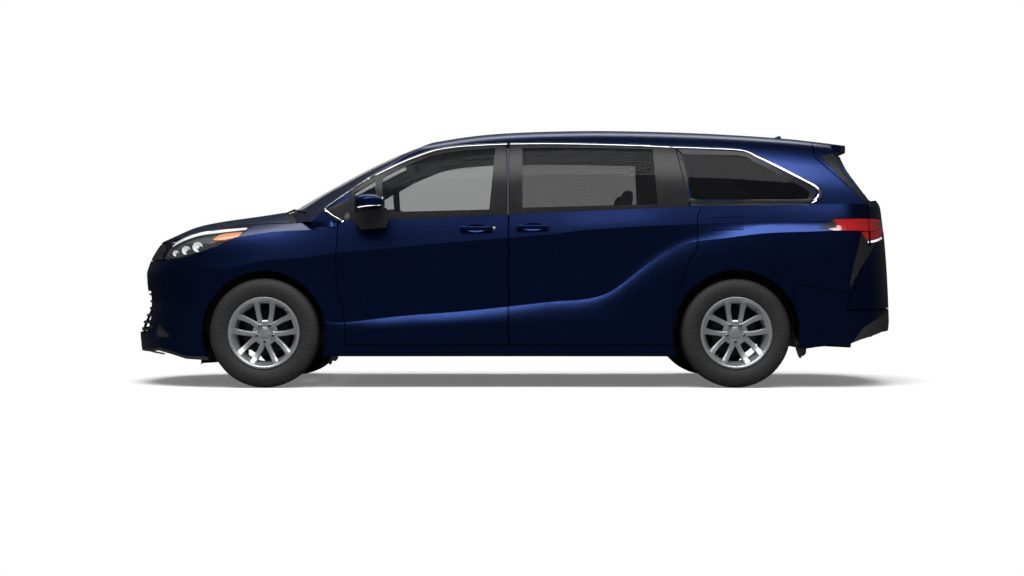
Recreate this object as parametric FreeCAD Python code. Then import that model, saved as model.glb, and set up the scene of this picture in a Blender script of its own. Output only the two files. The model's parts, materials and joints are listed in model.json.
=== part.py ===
import FreeCAD
import Part
import math
import os
from functools import lru_cache

Vector = FreeCAD.Vector

# Frame: the nose points to -X, the left side is -Y, up is +Z, and the origin is on the ground
# below the middle of the car. All sizes are in millimetres.

# Driving sizes of the whole car
length = 5175
width = 1994
height = 1735
wheelbase = 3060
frontOverhang = 968
halfLength = length / 2
halfWidth = width / 2
frontAxleX = frontOverhang - halfLength
rearAxleX = frontAxleX + wheelbase

# Wheels
tyreRadius = 357
tyreWidth = 235
rimRadius = 232
rimFlange = 14
track = 1736
archRadius = 403
wheelSlots = 5
lugCircle = 114.3
lugRadius = 10

# Walls, gaps and common allowances
doorThickness = 86
upperWall = 46
bumperWall = 34
fenderWall = 30
hoodThickness = 34
glassThickness = 5
glassInset = 3
panelGap = 4
seatGap = 0.3
overrun = 60

# Splits between panels, as shares of the half length (forward is negative)
doorSplitX = -0.0135 * halfLength
noseRootShare = -0.70
tailRootShare = 0.83
nosePower = 2.3
tailPower = 2.1
noseSteps = 9
frontSideSteps = 11
rearSideSteps = 13
tailSteps = 8

# Heights of the flat ends of the construction volume
baseZ = 0.075 * height
capZ = 0.77 * height


def curve(shares, xUnit, yUnit):
    """A smooth line through points given in shares, level beyond its two ends."""
    xs = [p[0] * xUnit for p in shares]
    ys = [p[1] * yUnit for p in shares]
    rises = [(ys[i + 1] - ys[i]) / (xs[i + 1] - xs[i]) for i in range(len(xs) - 1)]
    slopes = [rises[0]]
    for before, after in zip(rises, rises[1:]):
        if before * after <= 0:
            slopes.append(0.0)
        else:
            slopes.append(2 * before * after / (before + after))
    slopes.append(rises[-1])

    def value(x):
        if x <= xs[0]:
            return ys[0]
        if x >= xs[-1]:
            return ys[-1]
        i = max(k for k in range(len(xs) - 1) if xs[k] <= x)
        h = xs[i + 1] - xs[i]
        t = (x - xs[i]) / h
        start = ys[i] * (1 + 2 * t) * (1 - t) ** 2 + slopes[i] * h * t * (1 - t) ** 2
        end = ys[i + 1] * t * t * (3 - 2 * t) - slopes[i + 1] * h * t * t * (1 - t)
        return start + end

    return value


# Feature lines of the lower body: height along the car, half width, and lean of the skin
# just below and just above the line (outward travel per unit of rise)
sillWidthShares = [(-1.0, 0.90), (-0.70, 0.945), (0.0, 0.935), (0.56, 0.955), (1.0, 0.93)]
lowHeightShares = [(-1.0, 0.205), (-0.70, 0.225), (-0.41, 0.222), (0.09, 0.254), (0.30, 0.261),
                   (0.56, 0.27), (0.85, 0.25), (1.0, 0.24)]
lowWidthShares = [(-1.0, 0.955), (-0.62, 0.992), (-0.41, 0.986), (0.0, 0.986), (0.35, 0.99),
                  (0.56, 1.0), (0.80, 0.985), (1.0, 0.97)]
haunchHeightShares = [(-1.0, 0.31), (-0.85, 0.33), (-0.62, 0.32), (-0.45, 0.245), (-0.406, 0.248),
                      (-0.285, 0.268), (-0.16, 0.282), (-0.06, 0.296), (0.091, 0.321), (0.205, 0.336),
                      (0.238, 0.356), (0.279, 0.401), (0.319, 0.444), (0.354, 0.482), (0.389, 0.512),
                      (0.416, 0.531), (0.456, 0.547), (0.502, 0.555), (0.559, 0.566), (0.642, 0.579),
                      (0.745, 0.584), (0.83, 0.589), (1.0, 0.59)]
haunchWidthShares = [(-1.0, 0.955), (-0.62, 0.990), (-0.43, 0.978), (-0.30, 0.962), (0.0, 0.955),
                     (0.20, 0.955), (0.30, 0.963), (0.42, 0.982), (0.56, 0.996), (0.75, 0.985),
                     (1.0, 0.955)]
shoulderHeightShares = [(-1.0, 0.43), (-0.859, 0.441), (-0.754, 0.443), (-0.716, 0.448),
                        (-0.664, 0.465), (-0.611, 0.477), (-0.511, 0.490), (-0.436, 0.506),
                        (-0.335, 0.519), (-0.235, 0.533), (-0.135, 0.547), (-0.035, 0.558),
                        (0.091, 0.574), (0.181, 0.590), (0.296, 0.601), (0.411, 0.610),
                        (0.559, 0.618), (0.642, 0.621), (0.83, 0.625), (1.0, 0.625)]
shoulderWidthShares = [(-1.0, 0.95), (-0.62, 0.988), (-0.43, 0.984), (0.0, 0.988), (0.28, 0.982),
                       (0.42, 0.972), (0.56, 0.966), (0.80, 0.960), (1.0, 0.94)]
beltHeightShares = [(-1.0, 0.565), (-0.90, 0.545), (-0.80, 0.575), (-0.66, 0.605), (-0.54, 0.618),
                    (-0.411, 0.628), (-0.236, 0.636), (-0.06, 0.648), (0.091, 0.658),
                    (0.354, 0.674), (0.746, 0.689), (0.85, 0.692), (1.0, 0.692)]
beltWidthShares = [(-1.0, 0.915), (-0.62, 0.915), (-0.43, 0.938), (0.0, 0.952), (0.35, 0.948),
                   (0.56, 0.942), (0.80, 0.930), (1.0, 0.915)]
capWidthShares = [(-1.0, 0.84), (-0.62, 0.84), (0.0, 0.86), (0.8, 0.84), (1.0, 0.83)]

lowLeanBelowShares = [(-1.0, 0.05), (0.0, 0.05), (1.0, 0.10)]
lowLeanAboveShares = [(-1.0, -0.05), (-0.62, -0.02), (-0.42, -0.12), (0.2, -0.12), (0.4, -0.03),
                      (1.0, -0.03)]
haunchLeanBelowShares = [(-1.0, 0.0), (-0.62, 0.0), (-0.42, -0.45), (0.2, -0.45), (0.40, -0.30),
                         (0.56, -0.14), (1.0, -0.10)]
haunchLeanAboveShares = [(-1.0, 0.0), (-0.62, 0.0), (-0.42, 0.0), (0.2, 0.0), (0.36, -0.30),
                         (0.56, -0.42), (1.0, -0.35)]
shoulderLeanBelowShares = [(-1.0, 0.0), (-0.62, 0.04), (-0.42, 0.12), (0.2, 0.12), (0.5, -0.12),
                           (1.0, -0.10)]
shoulderLeanAboveShares = [(-1.0, -0.20), (-0.62, -0.22), (-0.42, -0.20), (0.2, -0.20), (1.0, -0.20)]
beltLeanBelowShares = [(-1.0, -0.80), (-0.70, -0.60), (-0.42, -0.26), (0.5, -0.24), (1.0, -0.30)]
beltLeanAboveShares = [(-1.0, -0.80), (-0.70, -0.60), (-0.42, -0.35), (1.0, -0.40)]

# Where each feature line crosses the middle plane at the nose and at the tail
noseXShares = {"sill": -0.990, "low": -1.0, "haunch": -0.976, "shoulder": -0.982, "belt": -0.935,
               "cap": -0.84}
tailXShares = {"sill": 0.985, "low": 1.0, "haunch": 0.985, "shoulder": 0.982, "belt": 0.975,
               "cap": 0.93}


def level(z):
    return lambda x: z


rowNames = ["sill", "low", "haunch", "shoulder", "belt", "cap"]
rowHeight = {
    "sill": level(baseZ),
    "low": curve(lowHeightShares, halfLength, height),
    "haunch": curve(haunchHeightShares, halfLength, height),
    "shoulder": curve(shoulderHeightShares, halfLength, height),
    "belt": curve(beltHeightShares, halfLength, height),
    "cap": level(capZ),
}
rowWidth = {
    "sill": curve(sillWidthShares, halfLength, halfWidth),
    "low": curve(lowWidthShares, halfLength, halfWidth),
    "haunch": curve(haunchWidthShares, halfLength, halfWidth),
    "shoulder": curve(shoulderWidthShares, halfLength, halfWidth),
    "belt": curve(beltWidthShares, halfLength, halfWidth),
    "cap": curve(capWidthShares, halfLength, halfWidth),
}
leanBelow = {
    "low": curve(lowLeanBelowShares, halfLength, 1),
    "haunch": curve(haunchLeanBelowShares, halfLength, 1),
    "shoulder": curve(shoulderLeanBelowShares, halfLength, 1),
    "belt": curve(beltLeanBelowShares, halfLength, 1),
    "cap": level(-0.5),
}
leanAbove = {
    "sill": level(0.22),
    "low": curve(lowLeanAboveShares, halfLength, 1),
    "haunch": curve(haunchLeanAboveShares, halfLength, 1),
    "shoulder": curve(shoulderLeanAboveShares, halfLength, 1),
    "belt": curve(beltLeanAboveShares, halfLength, 1),
}
noseRootX = noseRootShare * halfLength
tailRootX = tailRootShare * halfLength


def stations():
    """Round the right half from nose to tail: (x weight to nose, x weight to tail, x, y weight)."""
    places = []
    for i in range(noseSteps):
        turn = math.radians(90) * i / noseSteps
        places.append((math.cos(turn) ** (2 / nosePower), 0.0, noseRootX, math.sin(turn) ** (2 / nosePower)))
    for i in range(frontSideSteps):
        places.append((0.0, 0.0, noseRootX + (doorSplitX - noseRootX) * i / frontSideSteps, 1.0))
    for i in range(rearSideSteps):
        places.append((0.0, 0.0, doorSplitX + (tailRootX - doorSplitX) * i / rearSideSteps, 1.0))
    for i in range(tailSteps + 1):
        turn = math.radians(90) * (1 - i / tailSteps)
        forward = max(math.cos(turn), 0.0) ** (2 / tailPower)
        places.append((0.0, forward, tailRootX, max(math.sin(turn), 0.0) ** (2 / tailPower)))
    return places


def rowPoint(name, place):
    toNose, toTail, x, across = place
    nominal = x + toNose * (-halfLength - noseRootX) + toTail * (halfLength - tailRootX)
    px = x + toNose * (noseXShares[name] * halfLength - noseRootX)
    px = px + toTail * (tailXShares[name] * halfLength - tailRootX)
    return Vector(px, across * rowWidth[name](nominal), rowHeight[name](nominal)), nominal


def planNormals(places):
    """Outward level direction of the skin at each station."""
    points = [rowPoint("shoulder", p)[0] for p in places]
    normals = []
    for i in range(len(points)):
        before = points[i - 1] if i > 0 else Vector(points[1].x, -points[1].y, 0)
        after = points[i + 1] if i + 1 < len(points) else Vector(points[-2].x, -points[-2].y, 0)
        run = after - before
        normals.append(Vector(-run.y, run.x, 0).normalize())
    return normals


poleRounds = 40


def ringPoles(points):
    """Poles of the closed uniform cubic that passes through the points."""
    count = len(points)
    poles = list(points)
    for _ in range(poleRounds):
        poles = [(points[i] * 6 - poles[i - 1] - poles[(i + 1) % count]) * 0.25 for i in range(count)]
    return poles


def bandFace(rows, first, last):
    """Face between two feature lines, from one station to another, with its four rows of poles."""
    count = len(rows[0])
    net = [[row[k % count] for row in rows] for k in range(first - 1, last + 2)]
    knots = list(range(len(net) + 4))
    surface = Part.BSplineSurface()
    surface.buildFromPolesMultsKnots(net, [1] * len(knots), [4, 4], knots, [0, 1], False, False, 3, 3)
    surface.segment(3, len(net), 0, 1)
    return surface


@lru_cache(maxsize=None)
def skinVolume(wall):
    """Closed volume inside the lower skin, moved in by the wall's thickness."""
    places = stations()
    normals = planNormals(places)
    half = len(places) - 1
    controls = []
    for i, place in enumerate(places):
        column = []
        for below, above in zip(rowNames, rowNames[1:]):
            low, x = rowPoint(below, place)
            high, x = rowPoint(above, place)
            rise = (high.z - low.z) / 3
            start = low + normals[i] * (leanAbove[below](x) * rise) + Vector(0, 0, rise)
            end = high - normals[i] * (leanBelow[above](x) * rise) - Vector(0, 0, rise)
            column.append([p - normals[i] * wall for p in (low, start, end, high)])
        controls.append(column)
    ring = list(controls)
    for column in controls[half - 1:0:-1]:
        ring.append([[Vector(p.x, -p.y, p.z) for p in band] for band in column])
    split = noseSteps + frontSideSteps
    faces = []
    rims = {"bottom": [], "top": []}
    for band in range(len(rowNames) - 1):
        rows = [ringPoles([column[band][k] for column in ring]) for k in range(4)]
        for first, last in ((-split, split), (split, len(ring) - split)):
            surface = bandFace(rows, first, last)
            faces.append(surface.toShape())
            if band == 0:
                rims["bottom"].append(surface.vIso(0).toShape())
            if band == len(rowNames) - 2:
                rims["top"].append(surface.vIso(1).toShape())
    for edges in rims.values():
        faces.append(Part.Face(Part.Wire(Part.__sortEdges__(edges))))
    shell = Part.makeShell(faces)
    shell.sewShape()
    solid = Part.makeSolid(shell)
    if solid.Volume < 0:
        solid.reverse()
    return solid


def netSurface(net):
    """Smooth cubic surface drawn by a net of control points, reaching the net's four edges."""
    surface = Part.BSplineSurface()
    spans = (len(net) - 3, len(net[0]) - 3)
    knots = [list(range(span + 1)) for span in spans]
    counts = [[4] + [1] * (span - 1) + [4] for span in spans]
    surface.buildFromPolesMultsKnots(net, counts[0], counts[1], knots[0], knots[1], False, False, 3, 3)
    return surface


# The bonnet and wing tops: height on the middle line and at the wing crease
bonnetMiddleShares = [(-1.06, 0.505), (-0.985, 0.525), (-0.935, 0.553), (-0.911, 0.569), (-0.889, 0.586),
                      (-0.836, 0.622), (-0.772, 0.641), (-0.676, 0.661), (-0.58, 0.683), (-0.50, 0.699),
                      (-0.38, 0.71)]
wingCreaseShares = [(-1.06, 0.47), (-0.93, 0.49), (-0.85, 0.515), (-0.75, 0.555), (-0.666, 0.571),
                    (-0.613, 0.582), (-0.542, 0.589), (-0.50, 0.593), (-0.38, 0.61)]
bonnetCreaseHalf = 0.945 * halfWidth
bonnetPower = 2.6
bonnetReach = 1.15 * halfWidth
bonnetFrontX = -1.06 * halfLength
bonnetRearX = -0.38 * halfLength
bonnetRows = 28
bonnetColumns = 20
bonnetPartLimit = 1.25
bonnetMiddle = curve(bonnetMiddleShares, halfLength, height)
wingCrease = curve(wingCreaseShares, halfLength, height)


def bonnetHeight(x, y):
    part = min(abs(y) / bonnetCreaseHalf, bonnetPartLimit)
    return bonnetMiddle(x) - (bonnetMiddle(x) - wingCrease(x)) * part ** bonnetPower


@lru_cache(maxsize=None)
def underBonnet(drop):
    """Everything below the bonnet surface, moved down by drop."""
    rows = []
    for i in range(bonnetRows + 1):
        x = bonnetFrontX + (bonnetRearX - bonnetFrontX) * i / bonnetRows
        row = []
        for j in range(bonnetColumns + 1):
            y = bonnetReach * (-1 + 2 * j / bonnetColumns)
            row.append(Vector(x, y, bonnetHeight(x, y) - drop))
        rows.append(row)
    return netSurface(rows).toShape().extrude(Vector(0, 0, -height))


# The upper body: roof line, section and taper
roofShares = [(-0.70, 0.835), (-0.45, 0.895), (-0.32, 0.924), (-0.258, 0.940), (-0.195, 0.957),
              (-0.131, 0.974), (-0.068, 0.985), (0.0, 0.992), (0.12, 0.998), (0.217, 1.0), (0.344, 0.997),
              (0.471, 0.991), (0.598, 0.981), (0.725, 0.967), (0.82, 0.950), (0.90, 0.934), (1.1, 0.885)]
sectionShares = [(1.030, -0.42), (1.018, -0.20), (1.0, 0.0), (0.966, 0.26), (0.944, 0.40), (0.915, 0.53),
                 (0.880, 0.66), (0.842, 0.77), (0.812, 0.83), (0.770, 0.876), (0.715, 0.910), (0.64, 0.936),
                 (0.54, 0.957), (0.42, 0.974), (0.28, 0.988), (0.14, 0.997), (0.0, 1.0)]
glassBaseHalf = 0.928 * halfWidth
glassBaseZ = 0.645 * height
taperShares = [(-0.70, 0.955), (-0.43, 0.980), (-0.23, 0.992), (0.0, 1.0), (0.35, 0.998), (0.60, 0.985),
               (0.85, 0.955), (1.1, 0.92)]
roofLine = curve(roofShares, halfLength, height)
upperTaper = curve(taperShares, halfLength, 1)


@lru_cache(maxsize=None)
def barrelVolume(wall):
    """Volume inside the roof and the upper sides, moved in by the wall's thickness."""
    rows = []
    count = 30
    for i in range(count + 1):
        x = halfLength * (-0.70 + 1.8 * i / count)
        half = []
        for across, up in sectionShares:
            half.append(Vector(x, across * glassBaseHalf * upperTaper(x),
                               glassBaseZ + up * (roofLine(x) - glassBaseZ)))
        section = half + [Vector(p.x, -p.y, p.z) for p in reversed(half[:-1])]
        moved = []
        for k, p in enumerate(section):
            before = section[max(k - 1, 0)]
            after = section[min(k + 1, len(section) - 1)]
            run = (after - before).normalize()
            moved.append(p + Vector(0, -run.z, run.y) * wall)
        flat = moved[0].z
        moved[0] = Vector(x, moved[0].y, flat)
        moved[-1] = Vector(x, -moved[0].y, flat)
        rows.append(moved)
    base = min(row[0].z for row in rows)
    for row in rows:
        row[0] = Vector(row[0].x, row[0].y, base)
        row[-1] = Vector(row[-1].x, row[-1].y, base)
    surface = netSurface(rows)
    uStart, uEnd, vStart, vEnd = surface.bounds()
    rims = [surface.uIso(uStart).toShape(), surface.uIso(uEnd).toShape()]
    faces = [surface.toShape()]
    for row, rim in zip((rows[0], rows[-1]), rims):
        faces.append(Part.Face(Part.Wire([rim, Part.makeLine(row[0], row[-1])])))
    faces.append(Part.makeRuledSurface(surface.vIso(vStart).toShape(), surface.vIso(vEnd).toShape()))
    shell = Part.makeShell(faces)
    shell.sewShape()
    solid = Part.makeSolid(shell)
    if solid.Volume < 0:
        solid.reverse()
    return solid


# Glass and tail surfaces of the upper body: distance along the car by height on the middle line
windscreenShares = [(0.50, -0.790), (0.60, -0.683), (0.675, -0.601), (0.733, -0.534), (0.787, -0.469),
                    (0.838, -0.404), (0.884, -0.339), (0.922, -0.276), (0.950, -0.220), (1.0, -0.10),
                    (1.08, 0.12)]
windscreenBow = (520, 240)
windscreenGlass = 6
windscreenTop = 0.934 * height
windscreenBase = 0.640 * height
backlightShares = [(0.50, 1.060), (0.60, 1.005), (0.66, 0.972), (0.718, 0.943), (0.762, 0.921),
                   (0.802, 0.900), (0.888, 0.862), (0.95, 0.835), (1.0, 0.812), (1.08, 0.775)]
backlightBow = (-200, -200)
screenLine = curve([(z, x) for z, x in windscreenShares], height, halfLength)
backlightLine = curve([(z, x) for z, x in backlightShares], height, halfLength)


screenRows = 24
screenColumns = 16
screenFoot = 0.50 * height
screenRise = 0.58 * height
screenReach = 1.1 * halfWidth
windscreenInward = (0.48, -0.877)
backlightInward = (-0.80, -0.60)


def screenVolume(line, bow, inward, depth, towards):
    """Everything behind a bowed glass surface, moved by a depth along its inward slope (x, z)."""
    rows = []
    for i in range(screenRows + 1):
        z = screenFoot + screenRise * i / screenRows
        sag = bow[0] + (bow[1] - bow[0]) * i / screenRows
        row = []
        for j in range(screenColumns + 1):
            y = screenReach * (-1 + 2 * j / screenColumns)
            x = line(z) + sag * (y / halfWidth) ** 2
            row.append(Vector(x + inward[0] * depth, y, z + inward[1] * depth))
        rows.append(row)
    return netSurface(rows).toShape().extrude(Vector(towards, 0, 0))


@lru_cache(maxsize=None)
def behindWindscreen(depth):
    return screenVolume(screenLine, windscreenBow, windscreenInward, depth, length)


@lru_cache(maxsize=None)
def aheadOfBacklight(depth):
    return screenVolume(backlightLine, backlightBow, backlightInward, depth, -length)


def polygon(points):
    return Part.Face(Part.makePolygon(points + [points[0]]))


def box(x0, x1, y0, y1, z0, z1):
    return Part.makeBox(x1 - x0, y1 - y0, z1 - z0, Vector(x0, y0, z0))


def mirrored(shape):
    return shape.mirror(Vector(0, 0, 0), Vector(0, 1, 0))


def largest(shape):
    """The biggest solid of a shape, without slivers that a cut may leave."""
    return max(shape.Solids, key=lambda s: s.Volume)


def cylinderY(x, z, radius, y0, y1):
    return Part.makeCylinder(radius, y1 - y0, Vector(x, y0, z), Vector(0, 1, 0))


def save(name, shape):
    solids = shape.Solids
    piece = solids[0] if len(solids) == 1 else Part.Compound(solids)
    piece.exportStep("parts/" + name + ".step")


# Outlines seen from the side, as (share of half length, share of height)
movingGap = 6
sashGap = 15
sillTopShare = 0.158
sillBottomShare = 0.118
doorTopShare = 0.70
splitShare = doorSplitX / halfLength
beltStartShare = -0.46
beltEndShare = 0.84
beltDrop = 4
beltSteps = 26
quarterStartStep = 14
frontDoorEdgeShares = [(-0.422, sillTopShare), (-0.4225, 0.217), (-0.430, 0.310), (-0.440, 0.347),
                       (-0.446, 0.403), (-0.446, 0.515), (-0.442, 0.612), (-0.428, 0.640)]
slideDoorEdgeShares = [(0.480, 0.70), (0.461, 0.642), (0.461, 0.545), (0.456, 0.512), (0.438, 0.470),
                       (0.431, 0.444), (0.400, 0.32), (0.400, sillTopShare)]
trimTopShares = [(-0.415, 0.745), (-0.365, 0.789), (-0.289, 0.847), (-0.213, 0.892), (-0.162, 0.907),
                 (-0.111, 0.914), (-0.035, 0.920), (0.092, 0.922), (0.250, 0.9185), (0.399, 0.912)]
frontDoorGlassShares = [(-0.330, 0.658), (-0.333, 0.790), (-0.289, 0.826), (-0.213, 0.873),
                        (-0.162, 0.889), (-0.111, 0.897), (-0.047, 0.904), (-0.062, 0.668)]
ventGlassShares = [(-0.402, 0.652), (-0.402, 0.732), (-0.350, 0.778), (-0.346, 0.655)]
slideGlassShares = [(0.022, 0.675), (0.022, 0.903), (0.090, 0.906), (0.250, 0.903), (0.352, 0.899),
                    (0.362, 0.688)]
quarterGlassShares = [(0.421, 0.890), (0.448, 0.706), (0.752, 0.706), (0.757, 0.726), (0.754, 0.747),
                      (0.721, 0.775), (0.676, 0.812), (0.623, 0.852), (0.577, 0.884)]
frontSashShares = ([(-0.418, 0.55)] + trimTopShares[:7] + [(splitShare, 0.921), (splitShare, 0.55)])
slideSashShares = [(splitShare, 0.55), (splitShare, 0.921), (0.092, 0.922), (0.250, 0.9185),
                   (0.399, 0.912), (0.412, 0.911), (0.443, 0.687), (0.455, 0.55)]
sideOpeningShares = [(-0.418, 0.50)] + trimTopShares + [(0.412, 0.911), (0.443, 0.687), (0.460, 0.50)]
lampShares = [(-0.893, 0.483), (-0.888, 0.513), (-0.864, 0.547), (-0.829, 0.573), (-0.794, 0.590),
              (-0.746, 0.596), (-0.723, 0.604), (-0.666, 0.609), (-0.686, 0.571), (-0.744, 0.530),
              (-0.807, 0.501), (-0.846, 0.487), (-0.875, 0.484)]
bonnetRegionShares = [(-1.2, 0.545), (-0.864, 0.547), (-0.829, 0.573), (-0.794, 0.590), (-0.746, 0.596),
                      (-0.723, 0.604), (-0.694, 0.612), (-0.618, 0.617), (-0.542, 0.621), (-0.46, 0.627),
                      (-0.46, 0.9), (-1.2, 0.9)]
bumperRegionShares = [(-1.2, 0.480), (-0.893, 0.480), (-0.846, 0.484), (-0.807, 0.498), (-0.783, 0.501),
                      (-0.744, 0.433), (-0.715, 0.36), (-0.70, 0.103), (-0.787, 0.103), (-0.827, 0.106),
                      (-0.867, 0.122), (-0.907, 0.134), (-0.94, 0.128), (-1.2, 0.128)]
upperGrilleShares = [(-1.2, 0.4825), (-0.9, 0.4825), (-0.9, 0.5425), (-1.2, 0.5425)]
tailgateRegionShares = [(0.767, 1.08), (0.767, 0.870), (0.885, 0.708), (0.897, 0.690), (0.898, 0.541),
                        (0.847, 0.345), (0.837, 0.296), (1.2, 0.296), (1.2, 1.08)]
rearBumperShares = [(0.700, 0.386), (0.842, 0.358), (0.840, 0.345), (0.831, 0.290), (1.2, 0.290), (1.2, 0.22),
                    (0.938, 0.205), (0.870, 0.179), (0.842, 0.164), (0.732, 0.148), (0.700, 0.148)]
tailLampShares = [(0.7725, 0.600), (0.804, 0.630), (0.93, 0.636), (1.2, 0.636), (1.2, 0.586), (0.80, 0.588)]
ledgeTopShares = [(0.86, 0.690), (0.94, 0.712), (0.955, 0.708), (1.0, 0.690)]
wingRegionShares = ([(-0.93, 0.103), (-0.93, 0.75), (-0.4395, 0.75)] + frontDoorEdgeShares[::-1]
                    + [(-0.422, sillBottomShare), (-0.70, sillBottomShare)])


aboveBeltShares = [(1.2, 0.69), (1.2, 1.2), (-1.2, 1.2), (-1.2, 0.62)]
belowQuarterShares = [(0.48, 0.705), (1.2, 0.705), (1.2, 0.0), (0.40, 0.0)]
quarterEndShares = [(1.0, 0.689), (1.0, 0.0)]
upperTailShares = [(0.6, 1.2), (1.3, 1.2), (1.3, 0.700), (0.6, 0.700)]
lowerTailFrontShares = [(0.6, 0.0)]
lowerTailRearShares = [(1.2, 0.60), (1.2, 0.0)]
spoilerGapShares = [(0.6, 0.0), (0.6, 1.2), (0.767, 1.2), (0.767, 0.0)]
ledgeFrontShares = [(0.80, 0.665)]
ledgeRearShares = [(1.2, 0.665)]


def along(share):
    return share * halfLength


def outward(share):
    return share * halfWidth


def upward(share):
    return share * height


def sideFace(shares, grow=0):
    """Flat outline in the middle plane, grown or shrunk by a gap."""
    face = polygon([Vector(along(x), 0, upward(z)) for x, z in shares])
    if grow:
        face = face.makeOffset2D(grow)
    return face


def sideDisc(x, z, radius):
    return Part.Face(Part.Wire(Part.makeCircle(radius, Vector(x, 0, z), Vector(0, 1, 0))))


def across(face, near=-width, far=width):
    """Prism of a side outline between two distances from the middle plane."""
    prism = face.extrude(Vector(0, far - near, 0))
    prism.translate(Vector(0, near, 0))
    return prism


def right(face):
    return across(face, 0, width)


def seen(corners, near, far):
    """Prism along the car of an outline seen from its end, from (half width, height) corners."""
    face = polygon([Vector(0, y, z) for y, z in corners])
    prism = face.extrude(Vector(far - near, 0, 0))
    prism.translate(Vector(near, 0, 0))
    return prism


def shareBox(shares):
    """Box from three pairs of shares: of half length, half width and height."""
    (x0, x1), (y0, y1), (z0, z1) = shares
    return box(along(x0), along(x1), outward(y0), outward(y1), upward(z0), upward(z1))


def both(shape):
    return Part.Compound([shape, mirrored(shape)])


def savePair(name, shape):
    """The right-hand piece and its mirror image on the left."""
    save(name + "_right", shape)
    save(name + "_left", mirrored(shape))


def between(volume, outerWall, innerWall):
    """Layer of a volume between two depths below its skin."""
    return volume(outerWall).cut(volume(innerWall))


os.makedirs("parts", exist_ok=True)
outer = skinVolume(0)
barrel = barrelVolume(0)
screen = behindWindscreen(0)
cabin = barrel.common(screen).common(aheadOfBacklight(0))
cabinInner = barrelVolume(upperWall).common(behindWindscreen(upperWall)).common(aheadOfBacklight(upperWall))
cabinShell = cabin.cut(cabinInner)
frontVolume = outer.common(underBonnet(0))
frontShell = frontVolume.cut(skinVolume(fenderWall).common(underBonnet(hoodThickness)))
rightSide = box(-length, length, 0, width, 0, height)
lowerShell = outer.cut(skinVolume(doorThickness))
lowerRight = lowerShell.common(rightSide)
cabinRight = cabinShell.common(rightSide)
beltLine = rowHeight["belt"]
beltPoints = []
for i in range(beltSteps + 1):
    share = beltStartShare + (beltEndShare - beltStartShare) * i / beltSteps
    beltPoints.append((share, (beltLine(along(share)) - beltDrop) / height))
belowBelt = sideFace(beltPoints + [(beltEndShare, 0.0), (beltStartShare, 0.0)])
aboveBelt = sideFace(beltPoints + aboveBeltShares)
frontArch = sideDisc(frontAxleX, tyreRadius, archRadius)
rearArch = sideDisc(rearAxleX, tyreRadius, archRadius + movingGap)
tailFace = sideFace(tailgateRegionShares)
tailFaceGrown = sideFace(tailgateRegionShares, movingGap)

# Doors below the belt, each with a bar handle on two feet over a hollow in the skin
handleLength = 205
handleHeight = 28
handleThickness = 15
handleGap = 12
handleEdge = 6
handleFoot = 24
cupLength = 150
cupHeight = 58
cupDepth = 18
frontHandleShares = (-0.0947, 0.5954)
slideHandleShares = (0.0464, 0.6006)


def withHandle(door, place):
    """A door with a hollow in its skin and a handle over it."""
    x = along(place[0])
    z = upward(place[1])
    reach = outer.common(Part.makeLine(Vector(x, 0, z), Vector(x, width, z))).BoundBox.YMax
    stretch = FreeCAD.Matrix()
    stretch.scale(cupLength / 2, cupDepth, cupHeight / 2)
    hollow = Part.makeSphere(1).transformGeometry(stretch)
    hollow.translate(Vector(x, reach, z))
    barRear = reach + handleGap
    bar = box(x - handleLength / 2, x + handleLength / 2, barRear, barRear + handleThickness,
              z - handleHeight / 2, z + handleHeight / 2)
    bar = bar.makeFillet(handleEdge, bar.Edges)
    feet = []
    for end in (-1, 1):
        middle = x + end * (handleLength - handleFoot - 2 * handleEdge) / 2
        feet.append(box(middle - handleFoot / 2, middle + handleFoot / 2, reach - cupDepth,
                        barRear + handleThickness / 2, z - handleHeight / 3, z + handleHeight / 3))
    return largest(door.cut(hollow).multiFuse([bar] + feet))


frontDoorFace = sideFace(frontDoorEdgeShares + [(splitShare, doorTopShare), (splitShare, sillTopShare)],
                         -movingGap).common(belowBelt)
slideDoorFace = sideFace([(splitShare, sillTopShare), (splitShare, doorTopShare)] + slideDoorEdgeShares,
                         -movingGap).common(belowBelt).cut(rearArch)
frontDoor = largest(lowerRight.common(right(frontDoorFace)))
slideDoor = largest(lowerRight.common(right(slideDoorFace)))
savePair("front_door", withHandle(frontDoor, frontHandleShares))
savePair("sliding_door", withHandle(slideDoor, slideHandleShares))
print("doors")

# Black window frames above the belt, and the side glass
glassSkin = between(barrelVolume, glassInset, glassInset + glassThickness).common(rightSide)
splitGap = polygon([Vector(doorSplitX - sashGap, 0, 0), Vector(0, 0, 0), Vector(0, 0, height),
                    Vector(doorSplitX - sashGap, 0, height)])
frontSashFace = sideFace(frontSashShares, -movingGap).common(aboveBelt).cut(splitGap)
frontSashFace = frontSashFace.cut(sideFace(frontDoorGlassShares)).cut(sideFace(ventGlassShares))
slideSashFace = sideFace(slideSashShares, -movingGap).common(aboveBelt).cut(sideFace(slideGlassShares))
frontSash = largest(cabinRight.common(right(frontSashFace)))
slideSash = largest(cabinRight.common(right(slideSashFace)))


def pane(shares):
    return largest(glassSkin.common(right(sideFace(shares, -seatGap))))


savePair("front_door_sash", frontSash)
savePair("front_door_glass", Part.Compound([pane(frontDoorGlassShares), pane(ventGlassShares)]))
save("sliding_door_sashes", both(slideSash))
save("side_glass", Part.Compound([both(pane(slideGlassShares)), both(pane(quarterGlassShares))]))
print("windows")

# Bonnet, with its curved rear edge seen from above
cowlBow = 0.0425 * halfLength
cowlMiddleX = -0.614 * halfLength
cowlHalf = 0.772 * halfWidth
cowlSteps = 12
cowlReach = 0.6 * width


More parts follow.
